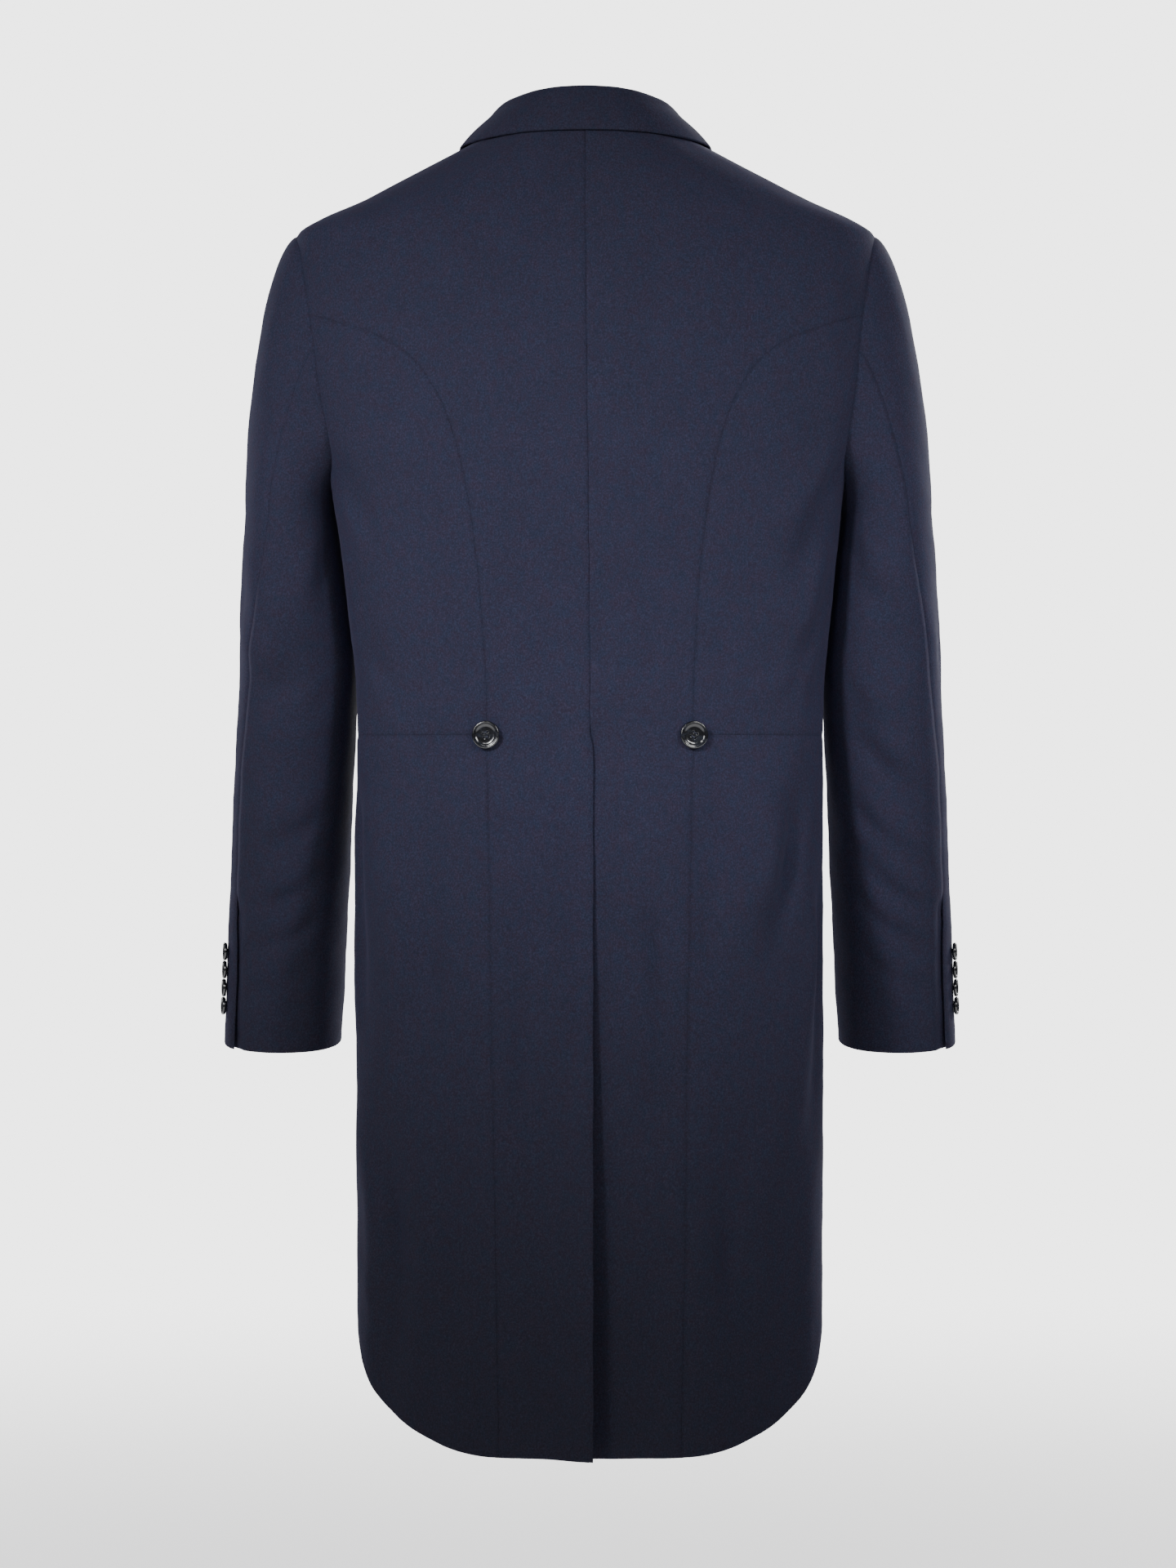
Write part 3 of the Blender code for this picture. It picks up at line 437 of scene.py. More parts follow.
# Creases of the body, in turns and levels, with the wearer's right below 0: what pulls from the armholes to
# the waist, what stands above the waist seam, and the long soft folds of the skirts
BODY_CREASES = (
    ((80, -240), (66, -292), (52, -346), 15, 1.9, 0.7, 0.4),
    ((76, -300), (70, -356), (68, -410), 10, 0.9, 0.6, 2.0),
    ((72, -388), (60, -432), (47, -468), 12, 1.1, 0.6, 1.1),
    ((-78, -236), (-66, -300), (-52, -372), 16, 2.1, 0.8, 1.9),
    ((-82, -330), (-72, -384), (-58, -432), 12, 1.7, 0.8, 0.2),
    ((-78, -372), (-76, -424), (-66, -470), 9, 1.2, 0.8, 2.7),
    ((-70, -410), (-58, -446), (-44, -472), 9, 0.7, 0.5, 0.9),
    ((60, -120), (61, -160), (58, -205), 16, 0.9, 0.5, 0.3),
    ((-62, -118), (-63, -158), (-60, -200), 16, 0.9, 0.5, 1.3),
    ((14, -60), (20, -110), (22, -170), 26, 0.7, 0.6, 2.2),
    ((-12, -64), (-18, -120), (-19, -190), 24, 0.7, 0.6, 0.6),
    ((22, -300), (17, -380), (19, -452), 15, 0.6, 0.6, 1.4),
    ((-20, -310), (-16, -385), (-17, -455), 15, 0.7, 0.6, 0.1),
    ((47, -488), (44, -620), (45, -800), 25, 4.6, 0.5, 0.4),
    ((80, -506), (79, -600), (74, -740), 14, 2.4, 0.7, 2.4),
    ((64, -760), (58, -860), (54, -980), 20, 3.4, 0.6, 1.1),
    ((-66, -494), (-58, -580), (-47, -690), 18, 4.0, 0.9, 1.0),
    ((-33, -500), (-30, -600), (-31, -720), 16, 1.9, 0.4, 0.2),
    ((-80, -560), (-77, -680), (-68, -840), 15, 2.8, 0.8, 1.8),
    ((13, -560), (16, -700), (15, -880), 14, 2.0, 0.6, 0.7),
    ((-15, -540), (-18, -690), (-16, -860), 13, 1.9, 0.8, 2.1),
    ((32, -790), (37, -880), (32, -1000), 16, 2.8, 0.7, 1.5),
    ((-42, -750), (-36, -870), (-41, -990), 18, 3.0, 0.7, 0.5),
    ((18, -690), (27, -716), (38, -724), 13, 1.0, 0.6, 2.6),
    ((-24, -820), (-31, -846), (-40, -850), 13, 1.0, 0.6, 0.3),
    ((50, -930), (60, -960), (70, -972), 11, 1.2, 0.7, 1.9),
    ((108, -300), (124, -352), (140, -410), 13, 1.2, 0.6, 0.8),
    ((-108, -300), (-124, -352), (-140, -410), 13, 1.2, 0.6, 1.7),
    ((118, -130), (122, -180), (118, -232), 11, 1.0, 0.5, 0.1),
    ((-118, -130), (-122, -180), (-118, -232), 11, 1.0, 0.5, 2.3),
    ((112, -500), (112, -590), (106, -700), 16, 1.5, 0.6, 1.2),
    ((-112, -500), (-112, -590), (-106, -700), 16, 1.5, 0.6, 0.3),
    ((140, -492), (134, -550), (128, -610), 12, 1.0, 0.6, 2.6),
    ((-140, -492), (-134, -550), (-128, -610), 12, 1.0, 0.6, 1.6),
)
BODY_HAND = Hand.of(BODY_CREASES, MM_PER_TURN, 1.8)
# Creases of each sleeve, in angles about the arm and levels: diagonals behind the forearm, the breaks
# inside the elbow at the front, and the drag under the arm
SLEEVE_CREASES = {
    1: (
        ((-40, -392), (0, -424), (44, -452), 24, 3.6, 0.8, 0.2),
        ((-50, -420), (-14, -452), (26, -470), 11, 0.9, 0.6, 1.4),
        ((-44, -520), (-6, -548), (36, -566), 10, 1.5, 0.8, 2.2),
        ((-46, -572), (-8, -596), (40, -612), 8, 1.4, 0.9, 0.7),
        ((-42, -612), (0, -634), (44, -648), 7.5, 1.4, 0.9, 1.9),
        ((-40, -650), (4, -670), (46, -684), 7, 1.0, 0.8, 0.1),
        ((-70, -300), (-40, -340), (-26, -390), 11, 1.6, 0.6, 1.0),
        ((60, -330), (74, -400), (80, -470), 12, 1.2, 0.5, 2.8),
        ((128, -400), (178, -418), (226, -404), 9, 1.8, 0.8, 0.5),
        ((122, -440), (176, -452), (232, -446), 9, 2.1, 0.8, 1.7),
        ((130, -484), (180, -490), (224, -478), 8, 1.6, 0.8, 2.5),
        ((150, -330), (176, -356), (206, -372), 12, 1.2, 0.6, 0.9),
        ((134, -560), (170, -580), (210, -574), 9, 1.0, 0.7, 0.3),
    ),
    -1: (
        ((-52, -440), (-12, -486), (34, -536), 11, 2.3, 0.8, 0.9),
        ((-48, -508), (-8, -550), (44, -590), 8.5, 1.9, 0.9, 2.1),
        ((-50, -548), (-6, -588), (42, -622), 7.5, 1.7, 0.9, 0.3),
        ((-46, -592), (-2, -626), (40, -652), 7, 1.6, 0.9, 1.5),
        ((-40, -640), (2, -666), (38, -684), 7, 1.2, 0.8, 2.4),
        ((-30, -340), (2, -378), (30, -430), 13, 1.2, 0.6, 2.6),
        ((-56, -408), (-24, -446), (10, -478), 11, 1.2, 0.6, 0.6),
        ((-66, -296), (-38, -334), (-22, -380), 11, 1.5, 0.6, 1.8),
        ((58, -320), (72, -396), (76, -462), 12, 1.1, 0.5, 0.4),
        ((130, -396), (180, -412), (228, -400), 9, 1.9, 0.8, 2.0),
        ((124, -436), (178, -450), (230, -440), 9, 2.0, 0.8, 0.8),
        ((132, -480), (182, -488), (226, -476), 8, 1.6, 0.8, 1.1),
        ((148, -334), (178, -358), (208, -370), 12, 1.2, 0.6, 2.9),
        ((132, -566), (172, -584), (212, -570), 9, 1.0, 0.7, 1.3),
    ),
}
SLEEVE_MM_PER_ANGLE = 0.9
SLEEVE_HANDS = {
    side: Hand.of(rows, SLEEVE_MM_PER_ANGLE, 1.45, uneven=0.4) for side, rows in SLEEVE_CREASES.items()
}


@dataclass(frozen=True)
class Torso:
    """The body of the coat as one surface, which its panels share."""

    rings: Curve = TORSO_RINGS
    normal_turn: float = 0.6
    normal_level: float = 1.5

    def smooth(self, turn: Array, level: Array) -> Array:
        """Return points on the body before its soft folds, for the wearer's left side.

        Args:
            turn: how far round the body the points are.
            level: their levels.

        Returns:
            Points in millimetres, with x, y and z in the last axis.
        """
        ring = self.rings(level)
        half, widest, back, front, back_squareness, lift = np.moveaxis(ring, -1, 0)
        across = np.sin(np.radians(turn))
        behind = np.cos(np.radians(turn)) > 0
        square = np.where(behind, back_squareness, FRONT_SQUARENESS)
        depth = np.maximum(0.0, 1 - np.abs(across) ** square) ** (1 / square)
        y = widest + (np.where(behind, back, front) - widest) * depth
        z = level + np.where(behind, lift * depth, 0)
        return np.stack(np.broadcast_arrays(half * across, y, z), -1)

    def normal(self, turn: Array, level: Array) -> Array:
        """Return the surface's outward normals.

        Args:
            turn: how far round the body the points are.
            level: their levels.

        Returns:
            Normals of length 1.
        """
        before, after = turn - self.normal_turn, turn + self.normal_turn
        round_body = self.smooth(after, level) - self.smooth(before, level)
        above = np.minimum(level + self.normal_level, 0)
        down = self.smooth(turn, level - self.normal_level) - self.smooth(turn, above)
        return unit(np.cross(round_body, down))

    def drape(self, turn: Array, level: Array) -> Array:
        """Return how far the soft folds below the waist stand out.

        Args:
            turn: how far round the body the points are.
            level: their levels.

        Returns:
            Heights above the smooth body.
        """
        total = 0.0
        for centre, spread, height, begins, full in DRAPE:
            near = np.maximum(0.0, 1 - np.abs(np.abs(turn) - centre) / spread)
            total = total + height * ease(near) * ease((begins - level) / (begins - full))
        return total

    def point(self, turn: Array, level: Array, out: Array | float = 0.0) -> Array:
        """Return points that far out from the body along its normals."""
        out = out + self.drape(turn, level)
        return self.smooth(turn, level) + self.normal(turn, level) * np.asarray(out)[..., None]

    def turn_at(self, x: Array, level: Array, front: bool = False) -> Array:
        """Return the turns of points x from the centre line, on the back or on the front."""
        turn = np.degrees(np.arcsin(np.clip(x / self.rings.column(level, 0), -1, 1)))
        return 180 - turn if front else turn

    def x_at(self, turn: Array, level: Array) -> Array:
        """Return the distances from the centre line of points at these turns."""
        return self.rings.column(level, 0) * np.sin(np.radians(turn))


TORSO = Torso()


def armhole_at(angle: Array | float) -> tuple[Array, Array]:
    """Return turn and level of the armhole seam at an angle about the arm."""
    both = ARMHOLE((np.asarray(angle, float) - ARMHOLE_START) % 360 + ARMHOLE_START)
    return both[..., 0], both[..., 1]


def drawn_in(line: Array, middle: tuple[float, float]) -> Array:
    """Move a seam line of (turn, level) half a gap over the cloth towards a point inside its panel."""
    scale = np.array((MM_PER_TURN, 1.0))
    return line + unit((np.array(middle) - line) * scale) * HALF_GAP / scale


def along(line: Rows, share: Array) -> Array:
    """Return the points at shares of the length of a line of (turn, level).

    Args:
        line: the line's points.
        share: shares from 0 to 1.

    Returns:
        A point for each share.
    """
    line = np.array(line, float)
    lengths = np.linalg.norm(np.diff(line, axis=0) * (MM_PER_TURN, 1.0), axis=1)
    places = np.concatenate([[0.0], np.cumsum(lengths)])
    return Curve(places, line)(share * places[-1])


def filled(top: Array, bottom: Array, left: Array, right: Array) -> Array:
    """Fill the space between four seam lines of (turn, level) with shared corners.

    Args:
        top: the first row.
        bottom: the last row.
        left: the first column.
        right: the last column.

    Returns:
        A grid of (turn, level), row by row.
    """
    u = np.linspace(0, 1, len(top))[None, :, None]
    v = np.linspace(0, 1, len(left))[:, None, None]
    corners = lerp(lerp(top[0], top[-1], u), lerp(bottom[0], bottom[-1], u), v)
    return lerp(left[:, None], right[:, None], u) + lerp(top[None], bottom[None], v) - corners


def side_name(piece: str, side: int) -> str:
    """Return a piece's name for the wearer's left (1) or right (-1)."""
    return piece + ("_left" if side > 0 else "_right")


class Edge(Enum):
    """How the edge of a piece of cloth is made."""

    SEWN = "turned in and pressed open into a seam"
    FOLDED = "folded over and pressed"
    PLAIN = "running on under another layer"


@dataclass
class Cloth:
    """A thin shell of cloth between two grids of points, with its edges made as a tailor makes them.

    Its edges are the first and the last row, then the first and the last column. A seam rolls in at its very
    edge and dips a little beside it, and a fold is rounded.
    """

    node: str
    outer: Array
    inner: Array
    side: int
    edges: tuple[Edge, Edge, Edge, Edge]
    held: str = "hung"
    rests_on: tuple[str, ...] = ()
    kept: Array | None = None
    margins: tuple[float, ...] = (0.2, 0.45, 0.85, 1.6, 2.8)
    margin_share: float = 0.16
    seam_roll: float = 0.75
    seam_dip: float = 0.5
    seam_reach: float = 5.0
    # How far from a seam the colour is darkened: partly the cloth pressed flat, partly painted shade in the
    # seam
    press_and_shade_reach: float = 2.6
    least_wall: float = 0.3
    fold_roll: float = 0.85
    rim: float = 0.28

    def shaped(self) -> tuple[Array, Array, Array, Array | None]:
        """Add fine rows by the edges and roll the edges in.

        Returns:
            Outer points, inner points, how near each is to a seam, and the kept cells.
        """
        outer, inner, kept = self.outer, self.inner, self.kept
        for axis in (0, 1):
            outer, inner, kept = (self._with_margins(g, axis, g is kept) for g in (outer, inner, kept))
        middle, half = (outer + inner) / 2, (outer - inner) / 2
        drop = np.zeros(middle.shape[:2])
        thin = np.ones(middle.shape[:2])
        press = np.zeros(middle.shape[:2])
        wall = np.linalg.norm(half, axis=-1)
        for kind, away in zip(self.edges, self._distances(middle)):
            if kind is Edge.SEWN:
                drop = np.maximum(drop, self.seam_dip * (1 - ease(away / self.seam_reach)))
                near = np.clip(1 - away / self.seam_roll, 0, 1)
                drop = np.maximum(drop, self.seam_roll * (1 - np.sqrt(1 - near**2)))
                # Nearness to a seam, which darkens the colour there: partly pressed cloth, partly painted
                # shade in the seam
                press = np.maximum(press, 1 - ease(away / self.press_and_shade_reach))
            elif kind is Edge.FOLDED:
                near = np.clip(1 - away / self.fold_roll, 0, 1)
                thin = np.minimum(thin, np.maximum(np.sqrt(1 - near**2), self.rim))
        direction = unit(half)
        drop = np.minimum(drop, 2 * wall - self.least_wall)
        reach = direction * (wall * thin)[..., None]
        top, under = middle + reach - direction * drop[..., None], middle - reach
        return top, under, press, kept

    def _with_margins(self, grid: Array | None, axis: int, cells: bool) -> Array | None:
        """Put fine rows beside both edges of a grid of points, or repeat the edge cells to match.

        Args:
            grid: the points or the cells, if there are any.
            axis: the axis across the edges.
            cells: whether they are cells.

        Returns:
            The finer grid.
        """
        if grid is None:
            return None
        rows = np.moveaxis(grid, axis, 0)
        if cells:
            count = len(self.margins)
            rows = np.concatenate([rows[:1].repeat(count, 0), rows, rows[-1:].repeat(count, 0)])
            return np.moveaxis(rows, 0, axis)
        new = []
        widest = [self.margin_share * (k + 1) for k in range(len(self.margins))]
        for a, b in ((rows[0], rows[1]), (rows[-1], rows[-2])):
            length = np.maximum(np.linalg.norm(b - a, axis=-1, keepdims=True), 1e-6)
            shares = [np.minimum(margin / length, most) for margin, most in zip(self.margins, widest)]
            new.append([a + (b - a) * share for share in shares])
        first, last = np.array(new[0]), np.array(new[1])[::-1]
        return np.moveaxis(np.concatenate([rows[:1], first, rows[1:-1], last, rows[-1:]]), 0, axis)

    @staticmethod
    def _distances(points: Array) -> list[Array]:
        """Return each point's distance along the grid from its top, bottom, first and last edge.

        Args:
            points: the grid of points.

        Returns:
            Four grids of distances in millimetres.
        """
        result = []
        for axis in (0, 1):
            steps = np.linalg.norm(np.diff(points, axis=axis), axis=-1)
            run = np.cumsum(np.concatenate([np.zeros_like(steps.take([0], axis)), steps], axis), axis)
            result += [run, run.take([-1], axis) - run]
        return result

    def build(self, material: bpy.types.Material) -> bpy.types.Object:
        """Make the mesh, dress it and put it in place of its solid.

        Args:
            material: the cloth.

        Returns:
            The new piece.
        """
        name = "wool_" + self.node
        top, under, press, kept = self.shaped()
        rows, columns = top.shape[:2]
        mask = np.ones((rows - 1, columns - 1), bool) if kept is None else kept
        index = np.arange(rows * columns).reshape(rows, columns)
        a, b, c, d = index[:-1, :-1], index[:-1, 1:], index[1:, 1:], index[1:, :-1]
        count = rows * columns
        upper = np.stack([a, b, c, d], -1)[mask]
        faces = [upper, upper[:, ::-1] + count]
        pad = np.pad(mask, 1)
        beyond = (pad[:-2, 1:-1], pad[1:-1, 2:], pad[2:, 1:-1], pad[1:-1, :-2])
        for p, q, past in zip((a, b, c, d), (b, c, d, a), beyond):
            free = mask & ~past
            faces.append(np.stack([q, p, p + count, q + count], -1)[free])
        faces = np.concatenate(faces)
        if self.side < 0:
            faces = faces[:, ::-1]
        points = np.concatenate([top.reshape(-1, 3), under.reshape(-1, 3)])
        used, faces = np.unique(faces, return_inverse=True)
        points = hung(points[used], self.side)
        mesh = bpy.data.meshes.new(name)
        mesh.from_pydata(points.tolist(), [], faces.reshape(-1, 4).tolist())
        both = np.concatenate([press.ravel(), press.ravel()])[used]
        # The nearness to a seam goes with the mesh for its darker colour: partly pressed cloth, partly
        # painted shade
        mesh.attributes.new("press", "FLOAT", "POINT").data.foreach_set("value", both.astype(np.float32))
        mesh.shade_smooth()
        piece = add_piece(name, mesh, material)
        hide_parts(self.node)
        return piece


def hung(points: Array, side: int) -> Array:
    """Put points of the wearer's left side on the side they are made for, as the coat hangs, in metres."""
    x = side * points[:, 0] + LEAN * ease(points[:, 2] / LEAN_LEVEL)
    return np.stack([x, points[:, 1], points[:, 2]], -1) * MM


def add_piece(name: str, mesh: bpy.types.Mesh, material: bpy.types.Material) -> bpy.types.Object:
    """Add a mesh as a piece that rides on the coat's one body.

    Args:
        name: its name.
        mesh: its mesh, in metres.
        material: its finish.

    Returns:
        The new piece.
    """
    mesh.materials.append(material)
    piece = bpy.data.objects.new(name, mesh)
    bpy.context.scene.collection.objects.link(piece)
    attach(piece, "root")
    LOG.info("%s: %d faces", name, len(mesh.polygons))
    return piece


def add_node(tree: bpy.types.NodeTree, kind: str, settings: dict | None = None, **links) -> bpy.types.Node:
    """Add a shader node.

    Args:
        tree: the tree that it goes in.
        kind: Blender's name for the node, without "ShaderNode".
        settings: its own properties, its sockets' values by name or number, and a colour ramp's stops, each
            as (position, colour).
        links: an output socket for each of its inputs, by the input's name in lower case or s and a number.

    Returns:
        The node.
    """
    node = tree.nodes.new("ShaderNode" + kind)
    for key, value in (settings or {}).items():
        if key == "stops":
            stops = node.color_ramp.elements
            for stop, (position, colour) in zip((stops[0], stops[1]), (value[0], value[-1])):
                stop.position, stop.color = position, linear(colour)
            for position, colour in value[1:-1]:
                stops.new(position).color = linear(colour)
        elif isinstance(key, int) or key in node.inputs:
            node.inputs[key].default_value = value
        else:
            setattr(node, key, value)
    for name, socket in links.items():
        number = name[1:]
        place = int(number) if name[0] == "s" and number.isdigit() else name.replace("_", " ").title()
        tree.links.new(socket, node.inputs[place])
    return node


def new_material(name: str, sockets: dict) -> tuple[bpy.types.Material, bpy.types.NodeTree, bpy.types.Node]:
    """Start a material.

    Args:
        name: what it is called.
        sockets: values of its main shader's own sockets.

    Returns:
        The material, its tree and its main shader.
    """
    material = bpy.data.materials.new(name)
    material.use_nodes = True
    shader = material.node_tree.nodes["Principled BSDF"]
    for socket, value in sockets.items():
        shader.inputs[socket].default_value = value
    return material, material.node_tree, shader


@dataclass(frozen=True)
class WorstedWool:
    """Fine worsted wool, dyed in the fibre and spun from several blues: a melange, matt, with a soft nap."""

    ground: str = "#363852"
    dark: str = "#282a3f"
    light: str = "#494d70"
    plum: str = "#4c3a56"
    blue: str = "#334062"
    # The share of the colour left at a seam: partly the cloth pressed flat, partly painted shade in the seam
    pressed_and_shaded_tone: float = 0.86
    roughness: float = 0.92
    ior: float = 1.45
    # Real yarns are 0.35 mm apart and the flecks of colour 0.5 mm wide. Both are drawn about twice as
    # coarse, because finer would not show in the render.
    yarn_mm: float = 0.8
    fleck_mm: float = 1.1
    patch_mm: float = 7.0
    streak: float = 0.8
    cloud_mm: float = 30.0
    # The nap lifts the tone where the cloth turns away from the eye
    nap: str = "#a7a3d0"
    nap_weight: float = 0.22
    nap_roughness: float = 0.42
    specular: float = 0.25

    def make(self) -> bpy.types.Material:
        """Return the cloth's material.

        Returns:
            Cloth with yarns, flecks of several blues and plum, a cloudy tone, and darker seams, partly
            pressed cloth and partly painted shade.
        """
        material, tree, shader = new_material("navy_worsted_wool", {
            "Roughness": self.roughness,
            "IOR": self.ior,
            "Specular IOR Level": self.specular,
            "Sheen Weight": self.nap_weight,
            "Sheen Roughness": self.nap_roughness,
            "Sheen Tint": linear(self.nap),
        })
        place = add_node(tree, "TexCoord").outputs["Object"]
        # Warp threads run down the coat, so every pattern but the yarn is drawn out in height
        drawn = add_node(tree, "Mapping", {"Scale": (1.0, 1.0, self.streak)}, vector=place).outputs[0]
        yarn, fleck, tint, cloud = (
            add_node(tree, "TexNoise", {"Scale": 1 / (size * MM), **detail}, vector=way).outputs["Fac"]
            for size, detail, way in (
                (self.yarn_mm, {"Detail": 2.0}, place),
                (self.fleck_mm, {"Detail": 3.0}, drawn),
                (self.patch_mm, {"Detail": 5.0, "Roughness": 0.75}, drawn),
                (self.cloud_mm, {"Detail": 3.0}, drawn),
            )
        )
        tones = {"stops": ((0.3, self.dark), (0.5, self.ground), (0.72, self.light))}
        tone = add_node(tree, "ValToRGB", tones, fac=fleck)
        hue = add_node(tree, "ValToRGB", {"stops": ((0.38, self.blue), (0.62, self.plum))}, fac=tint)
        coloured = add_node(
            tree, "Mix", {"data_type": "RGBA", "blend_type": "MIX", 0: 0.34},
            s6=tone.outputs[0], s7=hue.outputs[0],
        )
        worn = add_node(tree, "MapRange", {1: 0.3, 2: 0.7, 3: 0.96, 4: 1.04}, value=cloud)
        # Darker near the seams: partly the cloth pressed flat, partly painted shade in the seam's groove
        press = add_node(tree, "Attribute", {"attribute_name": "press"}).outputs["Fac"]
        flat = add_node(tree, "MapRange", {1: 0.0, 2: 1.0, 3: 1.0, 4: self.pressed_and_shaded_tone}, value=press)
        shade = add_node(tree, "Math", {"operation": "MULTIPLY"}, s0=worn.outputs[0], s1=flat.outputs[0])
        final = add_node(
            tree, "Mix", {"data_type": "RGBA", "blend_type": "MULTIPLY", 0: 1.0},
            s6=coloured.outputs[2], s7=shade.outputs[0],
        )
        tree.links.new(final.outputs[2], shader.inputs["Base Color"])
        nap = add_node(tree, "Bump", {"Strength": 0.35, "Distance": 0.00022}, height=yarn)
        weave = add_node(
            tree, "Bump", {"Strength": 0.3, "Distance": 0.0003}, height=fleck, normal=nap.outputs[0]
        )
        tree.links.new(weave.outputs[0], shader.inputs["Normal"])
        return material


@dataclass(frozen=True)
class PolishedHorn:
    """Dark buffalo horn, turned and polished: nearly black, with faint grey-blue grain under a hard gloss."""

    ground: str = "#14151c"
    grain: str = "#3a3f4d"
    grain_mm: float = 2.6
    roughness: float = 0.14
    ior: float = 1.56
    gloss: float = 0.6
    gloss_roughness: float = 0.06
    # Fine scuffs make the gloss uneven
    scuff_mm: float = 0.6
    scuff_low: float = 0.04
    scuff_high: float = 0.12

    def make(self) -> bpy.types.Material:
        """Return the buttons' material.

        Returns:
            Dark horn with a drawn grain and a gloss that fine scuffs make uneven.
        """
        material, tree, shader = new_material("polished_horn", {
            "IOR": self.ior, "Coat Weight": self.gloss, "Coat Roughness": self.gloss_roughness,
        })
        place = add_node(tree, "TexCoord").outputs["Object"]
        way = {"Scale": (0.35, 1.0, 1.0), "Rotation": (0.0, 0.4, 0.6)}
        drawn = add_node(tree, "Mapping", way, vector=place)
        grain = add_node(
            tree, "TexNoise", {"Scale": 1 / (self.grain_mm * MM), "Detail": 4.0, "Distortion": 0.6},
            vector=drawn.outputs[0],
        )
        tones = {"stops": ((0.42, self.ground), (0.8, self.grain))}
        tone = add_node(tree, "ValToRGB", tones, fac=grain.outputs["Fac"])
        tree.links.new(tone.outputs[0], shader.inputs["Base Color"])
        scuff = add_node(tree, "TexNoise", {"Scale": 1 / (self.scuff_mm * MM), "Detail": 3.0}, vector=place)
        rough = add_node(
            tree, "MapRange",
            {1: 0.3, 2: 0.8, 3: self.roughness - self.scuff_low, 4: self.roughness + self.scuff_high},
            value=scuff.outputs["Fac"],
        )
        tree.links.new(rough.outputs[0], shader.inputs["Roughness"])
        return material


@dataclass(frozen=True)
class SilkThread:
    """Twisted silk buttonhole thread, navy, with a slight lustre and a painted highlight along its twist."""

    colour: str = "#23263a"
    # The lighter tone is a painted highlight on the crest of each ply
    high: str = "#3d4360"
    # A wave pattern's scale of 0.31 gives one band for each unit of length
    twist_mm: float = 0.5
    wave_scale: float = 0.31
    roughness: float = 0.55
    lustre: float = 0.15

    def make(self) -> bpy.types.Material:
        """Return the thread's material.

        Returns:
            Thread whose twist shows as slanting bands of its colour and a painted highlight.
        """
        material, tree, shader = new_material(
            "navy_silk_thread", {"Roughness": self.roughness, "Sheen Weight": self.lustre}
        )
        place = add_node(tree, "TexCoord").outputs["Object"]
        scale = self.wave_scale / (self.twist_mm * MM)
        bands = {"Scale": scale, "Distortion": 1.5, "bands_direction": "DIAGONAL"}
        twist = add_node(tree, "TexWave", bands, vector=place)
        # The lighter bands of the twist are a painted highlight
        tones = {"stops": ((0.1, self.colour), (0.9, self.high))}
        tone = add_node(tree, "ValToRGB", tones, fac=twist.outputs["Fac"])
        tree.links.new(tone.outputs[0], shader.inputs["Base Color"])
        ply = add_node(tree, "Bump", {"Strength": 0.4, "Distance": 0.0001}, height=twist.outputs["Fac"])
        tree.links.new(ply.outputs[0], shader.inputs["Normal"])
        return material


@dataclass(frozen=True)
class PalePaper:
    """Matt pale paper with a faint light of its own, so that it looks white, which fades out far away."""

    colour: str = "#f4f4f5"
    light: float = 1.7
    roughness: float = 0.9
    fades_from: float = 2.2
    fades_to: float = 5.5

    def make(self) -> bpy.types.Material:
        """Return the floor's material.

        Returns:
            Paper that is clear beyond its fade, in metres from the coat.
        """
        material, tree, shader = new_material("pale_paper", {
            "Base Color": linear(self.colour),
            "Roughness": self.roughness,
            "Emission Color": linear(self.colour),
            "Emission Strength": self.light,
        })
        place = add_node(tree, "TexCoord").outputs["Object"]
        away = add_node(tree, "VectorMath", {"operation": "LENGTH"}, s0=place)
        fade = add_node(
            tree, "MapRange", {"interpolation_type": "SMOOTHSTEP", 1: self.fades_from, 2: self.fades_to},
            value=away.outputs[1],
        )
        clear = add_node(tree, "BsdfTransparent")
        both = add_node(tree, "MixShader", s0=fade.outputs[0], s1=shader.outputs[0], s2=clear.outputs[0])
        tree.links.new(both.outputs[0], tree.nodes["Material Output"].inputs["Surface"])
        return material


